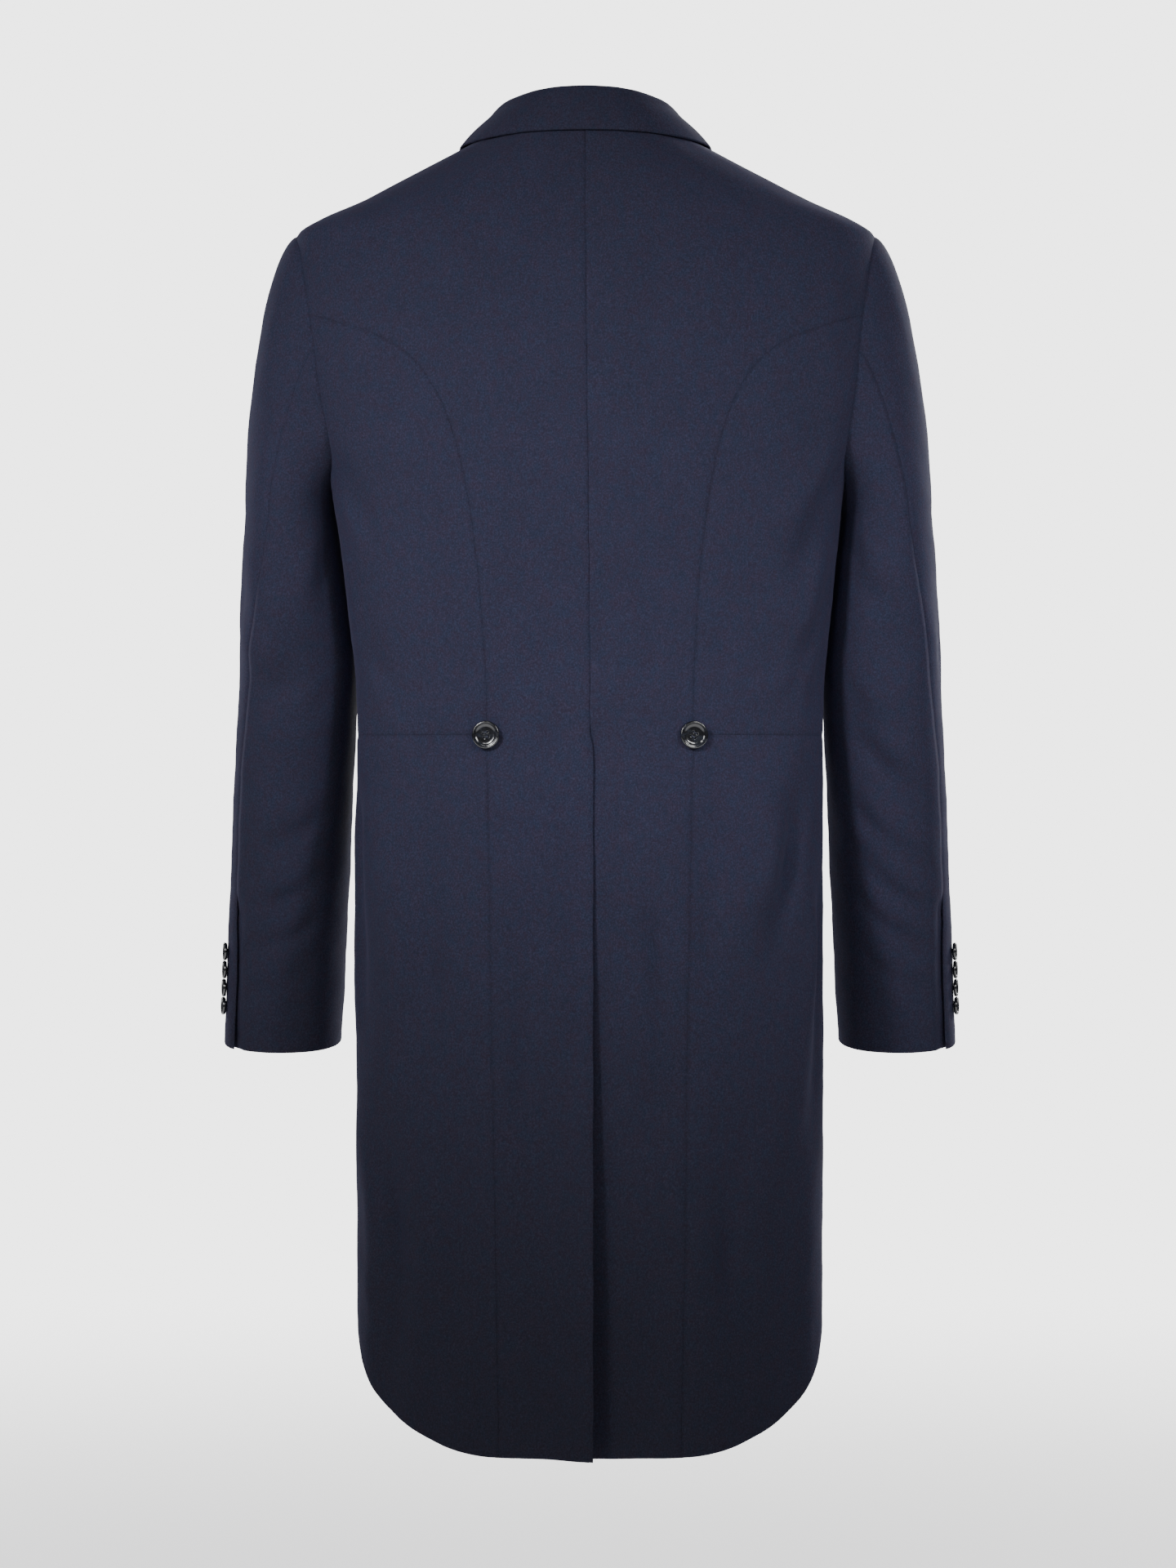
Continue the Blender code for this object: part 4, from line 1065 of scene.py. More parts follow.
@dataclass
class Body:
    """The panels of the body: backs with their tails, side bodies, fronts and skirts."""

    wool: bpy.types.Material
    steps: int = 9
    back_steps: int = 5
    front_steps: int = 7
    panel_steps: int = 5
    shell: float = 1.6
    underarm_turn: float = 102.0
    tail_lap: float = 2.5
    lap_start: float = 9.0
    underlap: float = 36.0
    underlap_columns: int = 14
    underlap_start: float = 1.5
    stray: float = 0.22
    # The vent: how far below the waist the tails part and over how much height, how far the left one lifts
    # and the right one is hollowed, and the strips beside the centre line where they do
    vent_start: float = 60.0
    vent_length: float = 480.0
    tail_lift: float = 9.5
    lift_width: float = 34.0
    tail_sink: float = 7.0
    hollow_edge: float = 62.0
    hollow_width: float = 50.0
    # Where the right tail sinks under the left one: from the centre line, and from above the waist down
    sink_edge: float = 20.0
    sink_width: float = 15.0
    sink_start: float = 18.0
    sink_height: float = 22.0
    # Where the right front sinks under the left one: from the centre line, from the top level down, and
    # out again by the foot level
    front_edge: float = 112.0
    front_width: float = 88.0
    front_top: float = -225.0
    front_rise: float = 150.0
    front_foot: float = -640.0
    front_fall: float = 125.0
    # A point (turn, level) inside each panel
    side_body_middle: tuple[float, float] = (72.0, -370.0)
    front_middle: tuple[float, float] = (150.0, -330.0)
    skirt_middle: tuple[float, float] = (85.0, -700.0)

    def back_seam(self) -> Array:
        """Return the fine curved back seam and tail seam as (distance from the centre back, level).

        Returns:
            Points from the armhole to the hem.
        """
        turn, level = armhole_at(BACK_CORNER)
        corner = (float(TORSO.x_at(turn, level)), float(level))
        seam = refine((corner,) + BACK_SEAM + TAIL_SEAM, self.steps)
        seam[:, 0] += self.wander(seam[:, 1], 1.0)
        return seam

    def wander(self, level: Array, phase: float) -> Array:
        """Return how far a sewn line strays to one side, as a needle does."""
        sway = np.sin(level / 13.0 + phase) + 0.6 * np.sin(level / 5.3 + 2 * phase)
        return self.stray * sway * ease(-level / 30)

    def underarm_seam(self) -> Array:
        """Return the fine seam between the side body and the front as (turn, level).

        Returns:
            Points from the armhole to the waist.
        """
        turn, level = armhole_at(UNDERARM_CORNER)
        i = np.arange(len(BACK_SEAM) * self.steps + 1) / self.steps
        down = lerp(level, WAIST, i / len(BACK_SEAM))
        return np.stack([lerp(turn, self.underarm_turn, ease(i / 3)), down], -1)

    def vent_out(self, side: int, x: Array, level: Array) -> Array:
        """Return how far the left tail stands off at the vent, or the right one is sunk under it.

        Args:
            side: the wearer's left (1) or right (-1).
            x: distances from the centre line.
            level: levels of the points.

        Returns:
            Heights above the body.
        """
        low = ease((WAIST - self.vent_start - level) / self.vent_length)
        if side > 0:
            return self.tail_lift * ease((self.lift_width - x) / self.lift_width) * low
        hollow = self.tail_sink * ease((self.hollow_edge - x) / self.hollow_width) * low
        near = ease((self.sink_edge - x) / self.sink_width)
        begins = ease((WAIST + self.sink_start - level) / self.sink_height)
        return -(CLOTH + LAYER_GAP) * near * begins - hollow

    @classmethod
    def front_out(cls, side: int, x: Array, level: Array) -> Array:
        """Return how far the right front is sunk under the left one where they lap at the waist.

        Args:
            side: the wearer's left (1) or right (-1).
            x: distances from the centre line.
            level: levels of the points.

        Returns:
            Heights above the body, all 0 for the left front.
        """
        if side > 0:
            return np.zeros(np.broadcast(x, level).shape)
        layers = CLOTH + LAPEL_CLOTH + 2 * LAYER_GAP + SEAM_GAP
        lapped = -layers * ease((cls.front_edge - x) / cls.front_width)
        begins = ease((cls.front_top - level) / cls.front_rise)
        return lapped * begins * ease((level - cls.front_foot) / cls.front_fall)

    def wall(self, side: int, turn: Array, level: Array, out: Array | float) -> tuple[Array, Array]:
        """Return the outer and inner points of a shell on the body, its creases with it."""
        out = out + BODY_HAND.height(side * turn * MM_PER_TURN, level)
        return TORSO.point(turn, level, out), TORSO.point(turn, level, out - self.shell)

    def back(self, side: int) -> None:
        """Make half of the back, in one with its tail. The left tail laps over the right one.

        Args:
            side: the wearer's left (1) or right (-1).
        """
        angles = subdivide([a for a in TOP_ANGLES[::-1] if BACK_CORNER <= a <= 90], self.steps)
        arm_turn, arm_level = armhole_at(angles)
        seam = self.back_seam()[1:]
        edge_x = np.append(TORSO.x_at(arm_turn, arm_level), seam[:, 0])
        edge_level = np.append(arm_level, seam[:, 1])
        centre = CENTRE_BACK + tuple(level for _, level in TAIL_SEAM[:-1]) + (HEM,)
        centre = refine(np.array(centre)[:, None], self.steps)[:, 0]
        waist_row = (len(CENTRE_BACK) - 1) * self.steps
        # Stretched, because refine spaces its rows by their lengths
        stretch = 60
        followed = refine(np.array(SHOULDER_FOLLOWED)[:, None] * stretch, self.steps)[:, 0] / stretch
        followed = np.pad(followed, (0, len(centre) - len(followed)))
        share = subdivide(BACK_COLUMNS, self.back_steps)[None]
        start = np.full(len(centre), HALF_GAP)
        if side > 0:
            start = lerp(HALF_GAP, -self.tail_lap, ease((WAIST - centre) / self.lap_start))
        start = (start + side * self.wander(centre, 0.0))[:, None]
        x = lerp(start, edge_x[:, None] - HALF_GAP, share)
        slope = SHOULDER_LEVEL / (NECK_HALF_WIDTH - SHOULDER_HALF_WIDTH)
        line = np.minimum(0.0, (NECK_HALF_WIDTH - share * SHOULDER_HALF_WIDTH) * slope)
        level = lerp(centre[:, None], edge_level[:, None], share)
        level = level + followed[:, None] * (line - share * SHOULDER_LEVEL)
        turn = TORSO.turn_at(x, level)
        turn[0, share[0] >= SHOULDER_COLUMNS[0] - 1e-9] = 90.0
        out = self.vent_out(side, x, level)
        kept, first = None, Edge.SEWN
        if side < 0:
            reach = np.linspace(self.underlap, self.underlap_start, self.underlap_columns)[None]
            down = np.repeat(centre[:, None], self.underlap_columns, 1)
            turn = np.concatenate([TORSO.turn_at(-reach, down), turn], 1)
            level = np.concatenate([down, level], 1)
            under = self.vent_out(side, np.zeros(down.shape), down)
            out = np.concatenate([np.minimum(under, -(CLOTH + LAYER_GAP)), out], 1)
            kept = np.ones((turn.shape[0] - 1, turn.shape[1] - 1), bool)
            kept[:waist_row, : self.underlap_columns] = False
            first = Edge.PLAIN
        outer, inner = self.wall(side, turn, level, out)
        edges = (Edge.SEWN, Edge.FOLDED, first, Edge.SEWN)
        Cloth(side_name("back", side), outer, inner, side, edges, kept=kept).build(self.wool)

    def side_body(self, side: int) -> None:
        """Make the panel under the arm, between the curved back seam and the underarm seam.

        Args:
            side: the wearer's left (1) or right (-1).
        """
        angles = [BACK_CORNER] + [a for a in UNDER_ANGLES[::-1] if a >= UNDERARM_CORNER]
        top = np.stack(armhole_at(subdivide(angles, self.panel_steps)), -1)
        seam = self.back_seam()[: len(BACK_SEAM) * self.steps + 1]
        left = np.stack([TORSO.turn_at(seam[:, 0], seam[:, 1]), seam[:, 1]], -1)
        right = self.underarm_seam()
        share = np.linspace(0, 1, len(top))
        bottom = np.stack([lerp(left[-1, 0], right[-1, 0], share), np.full(len(top), WAIST)], -1)
        lines = [drawn_in(line, self.side_body_middle) for line in (top, bottom, left, right)]
        grid = filled(*lines)
        outer, inner = self.wall(side, grid[..., 0], grid[..., 1], 0.0)
        Cloth(side_name("side_body", side), outer, inner, side, (Edge.SEWN,) * 4).build(self.wool)

    def front(self, side: int) -> None:
        """Make the front panel, from the shoulder to the waist seam.

        Args:
            side: the wearer's left (1) or right (-1).
        """
        angles = [a for a in TOP_ANGLES if a >= 90] + [a + 360 for a in (-132, -115, -98)]
        armhole = np.stack(armhole_at(subdivide(angles, self.steps)), -1)
        outline = np.concatenate([armhole, self.underarm_seam()[1:]])
        outline = drawn_in(outline, self.front_middle)
        outline[0] = (90.0, SHOULDER_LEVEL)
        outline[-1, 1] = WAIST + HALF_GAP
        below = (len(outline) - 1) // self.steps + 1 - len(NECK_LEVELS)
        levels = [lerp(NECK_LEVELS[-1], outline[-1, 1], (i + 1) / below) for i in range(below)]
        roll_level = subdivide(list(NECK_LEVELS) + levels, self.steps)[:, None]
        roll_x = ROLL_LINE.column(roll_level, 0)
        first, last = SHOULDER_COLUMNS[0], SHOULDER_COLUMNS[-1]
        shares = [(column - first) / (last - first) for column in SHOULDER_COLUMNS]
        share = subdivide(shares, self.front_steps)[::-1][None]
        level = lerp(roll_level, outline[:, 1:], share)
        x = lerp(roll_x, TORSO.x_at(outline[:, 0], outline[:, 1])[:, None], share)
        turn = TORSO.turn_at(x, level, True)
        turn[0] = 90.0
        outer, inner = self.wall(side, turn, level, self.front_out(side, x, level))
        edges = (Edge.SEWN, Edge.SEWN, Edge.SEWN, Edge.FOLDED)
        Cloth(side_name("front", side), outer, inner, side, edges).build(self.wool)

    def skirt(self, side: int) -> None:
        """Make the skirt, hung from the waist seam and cut away in a long curve at the front.

        Args:
            side: the wearer's left (1) or right (-1).
        """
        seam = self.back_seam()[len(BACK_SEAM) * self.steps :]
        left = np.stack([TORSO.turn_at(seam[:, 0], seam[:, 1]), seam[:, 1]], -1)
        share = np.linspace(0, 1, 12 * self.panel_steps + 1)
        top = np.stack([lerp(left[0, 0], CUTAWAY[0][0], share), np.full(len(share), WAIST)], -1)
        right = along(CUTAWAY, np.linspace(0, 1, len(left)))
        bottom = along(TAIL_HEM, share)
        left, top = drawn_in(left, self.skirt_middle), drawn_in(top, self.skirt_middle)
        top[0], right[0], bottom[0] = left[0], top[-1], left[-1]
        grid = filled(top, bottom, left, right)
        turn, level = grid[..., 0], grid[..., 1]
        sunk = self.front_out(side, TORSO.x_at(turn, level), level)
        outer, inner = self.wall(side, turn, level, np.where(turn > 90, sunk, 0.0))
        edges = (Edge.SEWN, Edge.FOLDED, Edge.SEWN, Edge.FOLDED)
        Cloth(side_name("skirt", side), outer, inner, side, edges).build(self.wool)

    def build(self) -> None:
        """Make every panel of the body."""
        for side in (1, -1):
            self.back(side)
            self.side_body(side)
            self.front(side)
            self.skirt(side)


@dataclass
class Lapels:
    """Peaked lapels, turned back on the fronts along the roll line in a soft roll."""

    wool: bpy.types.Material
    steps: int = 8
    column_steps: int = 6
    shell: float = 1.6
    roll: float = 2.4
    roll_share: float = 0.16
    roll_width: float = 0.4
    roll_foot: float = -400.0
    roll_rise: float = 160.0
    stand_off: float = 0.7
    fold_steps: int = 9
    least_radius: float = 0.25

    def build(self) -> None:
        """Make both lapels."""
        for side in (1, -1):
            self.lapel(side)

    def lapel(self, side: int) -> None:
        """Make one lapel with the fold that joins it to the front.

        Args:
            side: the wearer's left (1) or right (-1).
        """
        rows = []
        for i, (edge_x, edge_level) in enumerate(LAPEL_EDGE):
            roll_level = lerp(GORGE[0][1], LAPEL_FOOT, i / (len(LAPEL_EDGE) - 1))
            roll_x = float(ROLL_LINE.column(roll_level, 0))
            share = np.array(LAPEL_COLUMNS)
            row = np.stack([lerp(roll_x, edge_x, share), lerp(roll_level, edge_level, share)], -1)
            if i == 0:
                part = share / GORGE_COLUMNS[-1]
                seam = lerp(np.array(GORGE[0]), np.array(GORGE[1]), part[:, None])
                past = (share - GORGE_COLUMNS[-1]) / (1 - GORGE_COLUMNS[-1])
                peak = lerp(np.array(GORGE[1]), np.array((edge_x, edge_level)), past[:, None])
                row = np.where(part[:, None] <= 1, seam, peak)
            rows.append(row)
        grid = refine(np.array(rows), self.steps)
        grid = np.stack([subdivide_rows(grid[..., k], self.column_steps) for k in (0, 1)], -1)
        share = subdivide(LAPEL_COLUMNS, self.column_steps)[None]
        x, level = grid[..., 0], grid[..., 1]
        near = ease((self.roll_width - np.abs(share - self.roll_share)) / self.roll_width)
        rise = self.roll * near * ease((level - self.roll_foot) / self.roll_rise)
        out = LAYER_GAP + LAPEL_CLOTH + rise + self.stand_off * share + Body.front_out(side, x, level)
        turn = TORSO.turn_at(x, level, True)
        hand = BODY_HAND.height(side * turn * MM_PER_TURN, level)
        outer = TORSO.point(turn, level, out + hand)
        inner = TORSO.point(turn, level, out + hand - self.shell)
        lies = out[:, 0] + hand[:, 0]
        fold_outer, fold_inner = self.fold(outer[:, 0], turn[:, 0], level[:, 0], lies, side)
        outer = np.concatenate([fold_outer, outer], 1)[:, ::-1]
        inner = np.concatenate([fold_inner, inner], 1)[:, ::-1]
        edges = (Edge.SEWN, Edge.FOLDED, Edge.FOLDED, Edge.PLAIN)
        front = "wool_" + side_name("front", side)
        Cloth(side_name("lapel", side), outer, inner, side, edges, "folded", (front,)).build(self.wool)

    def fold(self, top: Array, turn: Array, level: Array, out: Array, side: int) -> tuple[Array, Array]:
        """Roll the cloth over from the lapel's outer face to the inner face of the front.

        Args:
            top: points of the lapel's outer face on the roll line.
            turn: their turns.
            level: their levels.
            out: how far out from the body they are.
            side: the wearer's left (1) or right (-1).

        Returns:
            Outer and inner points of the fold, from the front's inner face to the lapel.
        """
        x = TORSO.x_at(turn, level)
        lies = BODY_HAND.height(side * turn * MM_PER_TURN, level)
        base = Body.front_out(side, x, level) + lies - self.shell
        radius = (out - base) / 2
        centre = TORSO.point(turn, level, (out + base) / 2)
        normal = TORSO.normal(turn, level)
        along_roll = np.gradient(top, axis=0)
        past = unit(np.cross(normal, along_roll))
        toward = TORSO.point(turn + 1.0, level) - TORSO.point(turn, level)
        past = past * np.sign((past * toward).sum(-1, keepdims=True))
        result = []
        for r in (radius, np.maximum(radius - self.shell, self.least_radius)):
            ring = []
            for k in range(self.fold_steps, 0, -1):
                angle = math.pi * k / self.fold_steps
                ring.append(centre + (normal * math.cos(angle) + past * math.sin(angle)) * r[:, None])
            result.append(np.stack(ring, 1))
        return result[0], result[1]


def subdivide_rows(grid: Array, steps: int) -> Array:
    """Put equal steps between the columns of each row of numbers.

    Args:
        grid: the rows.
        steps: how many intervals each one becomes.

    Returns:
        The longer rows.
    """
    columns = grid.shape[1]
    index = np.arange((columns - 1) * steps + 1) / steps
    low = np.minimum(index.astype(int), columns - 2)
    share = index - low
    return grid[:, low] * (1 - share) + grid[:, low + 1] * share


@dataclass
class Collar:
    """The collar in one piece: stand, fold and leaf, round the back neck and down to both notches."""

    wool: bpy.types.Material
    steps: int = 8
    section_steps: int = 6
    fold_radius: float = 3.2
    fold_steps: int = 5
    leaf_shares: tuple[float, ...] = (0.2, 0.46, 0.74, 1.0)
    leaf_bulge: float = 1.6
    leaf_stand_off: float = 0.6
    leaf_rise: float = 0.35
    neck_rise: float = 0.45
    leaf_out: float = LAYER_GAP + COLLAR_CLOTH

    def section(
        self, neck: Array, outside: Array, fold: Array, outer: list[Array], inner: list[Array]
    ) -> Array:
        """Return one section: up the stand on the neck side, over the fold and down the leaf.

        Args:
            neck: foot of the stand on the neck side.
            outside: foot of the stand on the leaf's side.
            fold: middle of the fold.
            outer: points of the leaf's outer face.
            inner: points of the leaf's inner face.

        Returns:
            Two rows of points, the outer face and the inner one.
        """
        stand, leaf = unit(outside - fold), unit(outer[0] - fold)
        down = unit(stand + leaf)
        outward = unit(leaf - down * leaf.dot(down))
        half_opening = math.acos(min(1.0, leaf.dot(down)))
        faces = []
        inside = self.fold_radius - COLLAR_CLOTH
        for radius, base, points in ((self.fold_radius, neck, outer), (inside, outside, inner)):
            arc = []
            for k in range(self.fold_steps):
                angle = (math.pi / 2 - half_opening) * (2 * k / (self.fold_steps - 1) - 1)
                arc.append(fold + (outward * math.sin(angle) - down * math.cos(angle)) * radius)
            faces.append([base, lerp(base, arc[0], 0.5)] + arc + points)
        return np.array(faces)

    def back_section(self, column: float, row: Sequence[float]) -> Array:
        """Return a section round the back neck.

        Args:
            column: its column of the back.
            row: its row of COLLAR_BACK.

        Returns:
            Two rows of points, the outer face and the inner one.
        """
        x, y, z, leaf_x, leaf_level = row
        turn = TORSO.turn_at(lerp(HALF_GAP, SHOULDER_HALF_WIDTH - HALF_GAP, column), 0.0)
        up, fold = np.array((0, 0, self.neck_rise)), np.array((x, y, z))
        leaf_turn = TORSO.turn_at(leaf_x, leaf_level)
        away = TORSO.normal(leaf_turn, leaf_level)
        away = unit(np.array((away[0], away[1], self.leaf_rise)))
        faces = []
        for out in (self.leaf_out, LAYER_GAP):
            end = TORSO.point(leaf_turn, leaf_level, out)
            start = fold + away * (self.fold_radius - self.leaf_out + out)
            bulge = [away * self.leaf_bulge * math.sin(math.pi * s) for s in self.leaf_shares]
            faces.append([lerp(start, end, s) + b for s, b in zip(self.leaf_shares, bulge)])
        neck = TORSO.point(turn, 0.0, -CLOTH) + up
        outside = TORSO.point(turn, 0.0, COLLAR_CLOTH - CLOTH) + up
        return self.section(neck, outside, fold, *faces)

    def front_section(self, level: float, row: Sequence[float]) -> Array:
        """Return a section down the front, where the stand grows lower towards the lapel.

        Args:
            level: its level on the roll line.
            row: its row of COLLAR_FRONT.

        Returns:
            Two rows of points, the outer face and the inner one.
        """
        dx, dy, dz, leaf_x, leaf_level = row
        roll_x = ROLL_LINE.column(level, 0)
        turn = TORSO.turn_at(roll_x, level, True)
        edge = TORSO.point(turn, level)
        past = unit(TORSO.point(TORSO.turn_at(roll_x - 1, level, True), level) - edge) * SEAM_GAP
        faces = []
        for out in (self.leaf_out, LAYER_GAP):
            line = []
            for share in self.leaf_shares:
                x, here = lerp(roll_x, leaf_x, share), lerp(level, leaf_level, share)
                lift = (dz - 1) * (1 - share) ** 2 + self.leaf_stand_off * share
                line.append(TORSO.point(TORSO.turn_at(x, here, True), here, out + lift))
            faces.append(line)
        neck = TORSO.point(turn, level, -CLOTH) + past
        outside = TORSO.point(turn, level, COLLAR_CLOTH - CLOTH) + past
        return self.section(neck, outside, edge + np.array((dx, dy, dz)), *faces)

    def build(self) -> None:
        """Make the collar."""
        half = [self.back_section(column, row) for column, row in zip(NECK_COLUMNS, COLLAR_BACK)]
        for level, row in zip(NECK_LEVELS[1:], COLLAR_FRONT):
            half.append(self.front_section(float(level), row))
        sections = np.array([section * (-1, 1, 1) for section in half[:0:-1]] + half)
        fine = refine(refine(sections, self.steps, axis=0), self.section_steps, axis=2)
        outer, inner = (np.swapaxes(fine[:, k, ::-1], 0, 1) for k in (0, 1))
        edges = (Edge.FOLDED, Edge.SEWN, Edge.FOLDED, Edge.FOLDED)
        under = ("wool_back_left", "wool_back_right", "wool_front_left", "wool_front_right")
        Cloth("collar", outer, inner, 1, edges, "folded", under).build(self.wool)


@dataclass
class Sleeves:
    """Two-piece sleeves with a cuff vent: a wide top sleeve and a narrow under sleeve each."""

    wool: bpy.types.Material
    steps: int = 8
    cap_steps: int = 4
    column_steps: int = 6
    shell: float = 1.6
    squareness: float = 2.2
    ring_gap: float = -0.03
    cap_gap: float = -0.35
    vent_top: float = -620.0
    underlap: tuple[float, ...] = tuple(2.25 * k for k in range(1, 13))
    angle_step: float = 1.5
    share_step: float = 0.02
    calm: float = 0.6
    # Beside the vent the under sleeve sinks: from so many angles short of the hind seam, and so far above
    sink_angle: float = 18.0
    sink_over: float = 13.0
    sink_above: float = 26.0
    sink_height: float = 24.0
    # The top sleeve laps over it: the angles that it moves round, over how many, from below the vent's top
    lap: float = 3.0
    lap_over: float = 26.0
    lap_below: float = 4.0
    lap_height: float = 20.0
    # It stands off by so much at the vent's top and at the cuff
    stand_height: float = 40.0
    stand_off: tuple[float, float] = (0.4, 2.4)
    flare_level: float = -690.0
    flare_height: float = 38.0
    # How the sleeve head leaves the armhole at its outer side, under the arm, at the back and at the front,
    # and how steeply it comes down into the first ring there
    cap_leaves: tuple[Point, ...] = (
        (84.8, 0.0, -42.8), (6.0, 0.0, -19.0), (48.4, -18.6, -34.1), (49.6, 19.8, -31.0),
    )
    cap_hang: Point = (-0.02, -0.06, -1.0)
    cap_pulls: tuple[float, ...] = (200.0, 14.0, 75.0, 75.0)

    @staticmethod
    def ring_angle(angle: Array, level: Array) -> Array:
        """Return the angle that a column of the sleeve has come round to at a level.

        Args:
            angle: the column's angle at the armhole.
            level: the levels.

        Returns:
            Angles about the arm.
        """
        hind = SLEEVE_RINGS.column(level, 5)
        end = FORE_CORNER + 360
        under = lerp(FORE_CORNER, hind, (angle - FORE_CORNER) / (HIND_CORNER - FORE_CORNER))
        over = lerp(hind, end, (angle - HIND_CORNER) / (end - HIND_CORNER))
        return np.where(angle <= HIND_CORNER, under, over)

    def ring(self, angle: Array, level: Array, out: Array | float = 0.0) -> Array:
        """Return points of the sleeve, at angles from its back (0) by its outer side (90).

        Args:
            angle: angles about the arm.
            level: their levels.
            out: how far out from the sleeve they are.

        Returns:
            Points in millimetres.
        """
        x, half, y, deep, tilt, _ = np.moveaxis(SLEEVE_RINGS(level), -1, 0)
        s, c = np.sin(np.radians(angle)), np.cos(np.radians(angle))
        power = 2 / self.squareness
        dx = (half + out) * np.sign(s) * np.abs(s) ** power
        dy = (deep + out) * np.sign(c) * np.abs(c) ** power
        return np.stack(np.broadcast_arrays(x + dx, y + dy, level - tilt * dy), -1)

    def cap(self, angle: Array, share: Array, side: int) -> Array:
        """Return points of the sleeve head, from the armhole (share 0) to the first ring (share 1).

        Args:
            angle: angles about the arm.
            share: how far down the sleeve head, from 0 to 1.
            side: the wearer's left (1) or right (-1).

        Returns:
            Points in millimetres.
        """
        turn, level = armhole_at(angle)
        s, c = np.sin(np.radians(angle)), np.cos(np.radians(angle))
        parts = np.stack([np.maximum(toward, 0) ** 2 for toward in (s, -s, c, -c)], -1)
        way = parts @ np.array(self.cap_leaves)
        pull = (parts @ np.array(self.cap_pulls))[..., None] * np.array(self.cap_hang)
        first = float(SLEEVE_LEVELS[0])
        lies = BODY_HAND.height(side * turn * MM_PER_TURN, level)
        step = self.angle_step
        ahead, behind = (TORSO.smooth(*armhole_at(near)) for near in (angle + step, angle - step))
        # Both rolled edges of the seam meet, also where the sleeve leaves the body at an angle
        rolled = (unit(np.cross(ahead - behind, way)) - TORSO.normal(turn, level)) * Cloth.seam_roll
        begin = TORSO.point(turn, level, lies) + rolled + unit(way) * self.cap_gap
        end = self.ring(self.ring_angle(angle, first), np.full(np.shape(angle), first))
        t = np.asarray(share)[..., None]
        point = begin * ((1 + 2 * t) * (1 - t) ** 2) + way * (t * (1 - t) ** 2)
        return point + end * (t * t * (3 - 2 * t)) + pull * (t * t * (t - 1))

    def cap_normal(self, angle: Array, share: Array, side: int) -> Array:
        """Return the sleeve head's outward normals.

        Args:
            angle: angles about the arm.
            share: how far down the sleeve head, from 0 to 1.
            side: the wearer's left (1) or right (-1).

        Returns:
            Normals of length 1.
        """
        before, after = angle - self.angle_step, angle + self.angle_step
        round_arm = self.cap(after, share, side) - self.cap(before, share, side)
        above, below = np.maximum(share - self.share_step, 0), share + self.share_step
        down = self.cap(angle, below, side) - self.cap(angle, above, side)
        return unit(np.cross(round_arm, down))

    def moved_under(self, angle: Array, level: Array, hind: Array) -> tuple[Array, Array]:
        """Return the under sleeve's angles and how far it is sunk beside the vent.

        Args:
            angle: angles about the arm.
            level: their levels.
            hind: the hind seam's angle at each level.

        Returns:
            Angles, and heights above the sleeve.
        """
        near = ease((angle - hind + self.sink_angle) / self.sink_over)
        near = near * ease((self.vent_top + self.sink_above - level) / self.sink_height)
        return angle, -(CLOTH + LAYER_GAP) * near

    def moved_top(self, angle: Array, level: Array, hind: Array) -> tuple[Array, Array]:
        """Return the top sleeve's angles and how far it stands off over the vent.

        Args:
            angle: angles about the arm.
            level: their levels.
            hind: the hind seam's angle at each level.

        Returns:
            Angles, and heights above the sleeve.
        """
        near = ease((hind + self.lap_over - angle) / self.lap_over)
        lap = self.lap * ease((self.vent_top - self.lap_below - level) / self.lap_height)
        flare = lerp(*self.stand_off, ease((self.flare_level - level) / self.flare_height))
        stand_off = ease((self.vent_top - level) / self.stand_height) * flare
        return angle - lap * near, stand_off * near

    def piece(
        self,
        name: str,
        angles: Array,
        side: int,
        moved: Callable[[Array, Array, Array], tuple[Array, Array]],
        laps: Sequence[float],
    ) -> None:
        """Make a sleeve piece from its columns, with more columns past the last one below the vent's top.

        Args:
            name: the piece's name, without its side.
            angles: its columns, as angles at the armhole.
            side: the wearer's left (1) or right (-1).
            moved: what moves its points beside the vent.
            laps: angles past the hind seam of the columns of its underlap.
        """
        hand = SLEEVE_HANDS[side]
        share = subdivide(CAP_SHARES, self.cap_steps)[:-1, None]
        columns = np.broadcast_to(angles[None], (len(share), len(angles)))
        share = np.broadcast_to(share, columns.shape)
        points, normal = self.cap(columns, share, side), self.cap_normal(columns, share, side)
        first = np.full(columns.shape, float(SLEEVE_LEVELS[0]))
        now = lerp(columns, self.ring_angle(columns, first), share)
        wave = hand.height(now * hand.scale, points[..., 2]) * ease(share / self.calm)
        head = [points + normal * (wave - wall)[..., None] for wall in (0.0, self.shell)]
        head = [np.concatenate([h, np.repeat(h[:, -1:], len(laps), 1)], 1) for h in head]
        level = subdivide(SLEEVE_LEVELS, self.steps)[:, None]
        hind = SLEEVE_RINGS.column(level, 5)
        angle, out = moved(self.ring_angle(angles[None], level), level, hind)
        out = np.broadcast_to(out, angle.shape)
        if len(laps):
            angle = np.concatenate([angle, hind + np.array(laps)[None]], 1)
            out = np.concatenate([out, np.full((len(level), len(laps)), -(CLOTH + LAYER_GAP))], 1)
        level = np.broadcast_to(level, angle.shape)
        out = out + hand.height(angle * hand.scale, level)
        arms = [self.ring(angle, level, out - wall) for wall in (0.0, self.shell)]
        outer, inner = (np.concatenate(both) for both in zip(head, arms))
        vent_row = len(share) + SLEEVE_LEVELS.index(int(self.vent_top)) * self.steps
        kept = np.ones((outer.shape[0] - 1, outer.shape[1] - 1), bool)
        kept[:vent_row, len(angles) - 1 :] = False
        edges = (Edge.SEWN, Edge.FOLDED, Edge.SEWN, Edge.PLAIN if len(laps) else Edge.SEWN)
        Cloth(side_name(name, side), outer, inner, side, edges, kept=kept).build(self.wool)

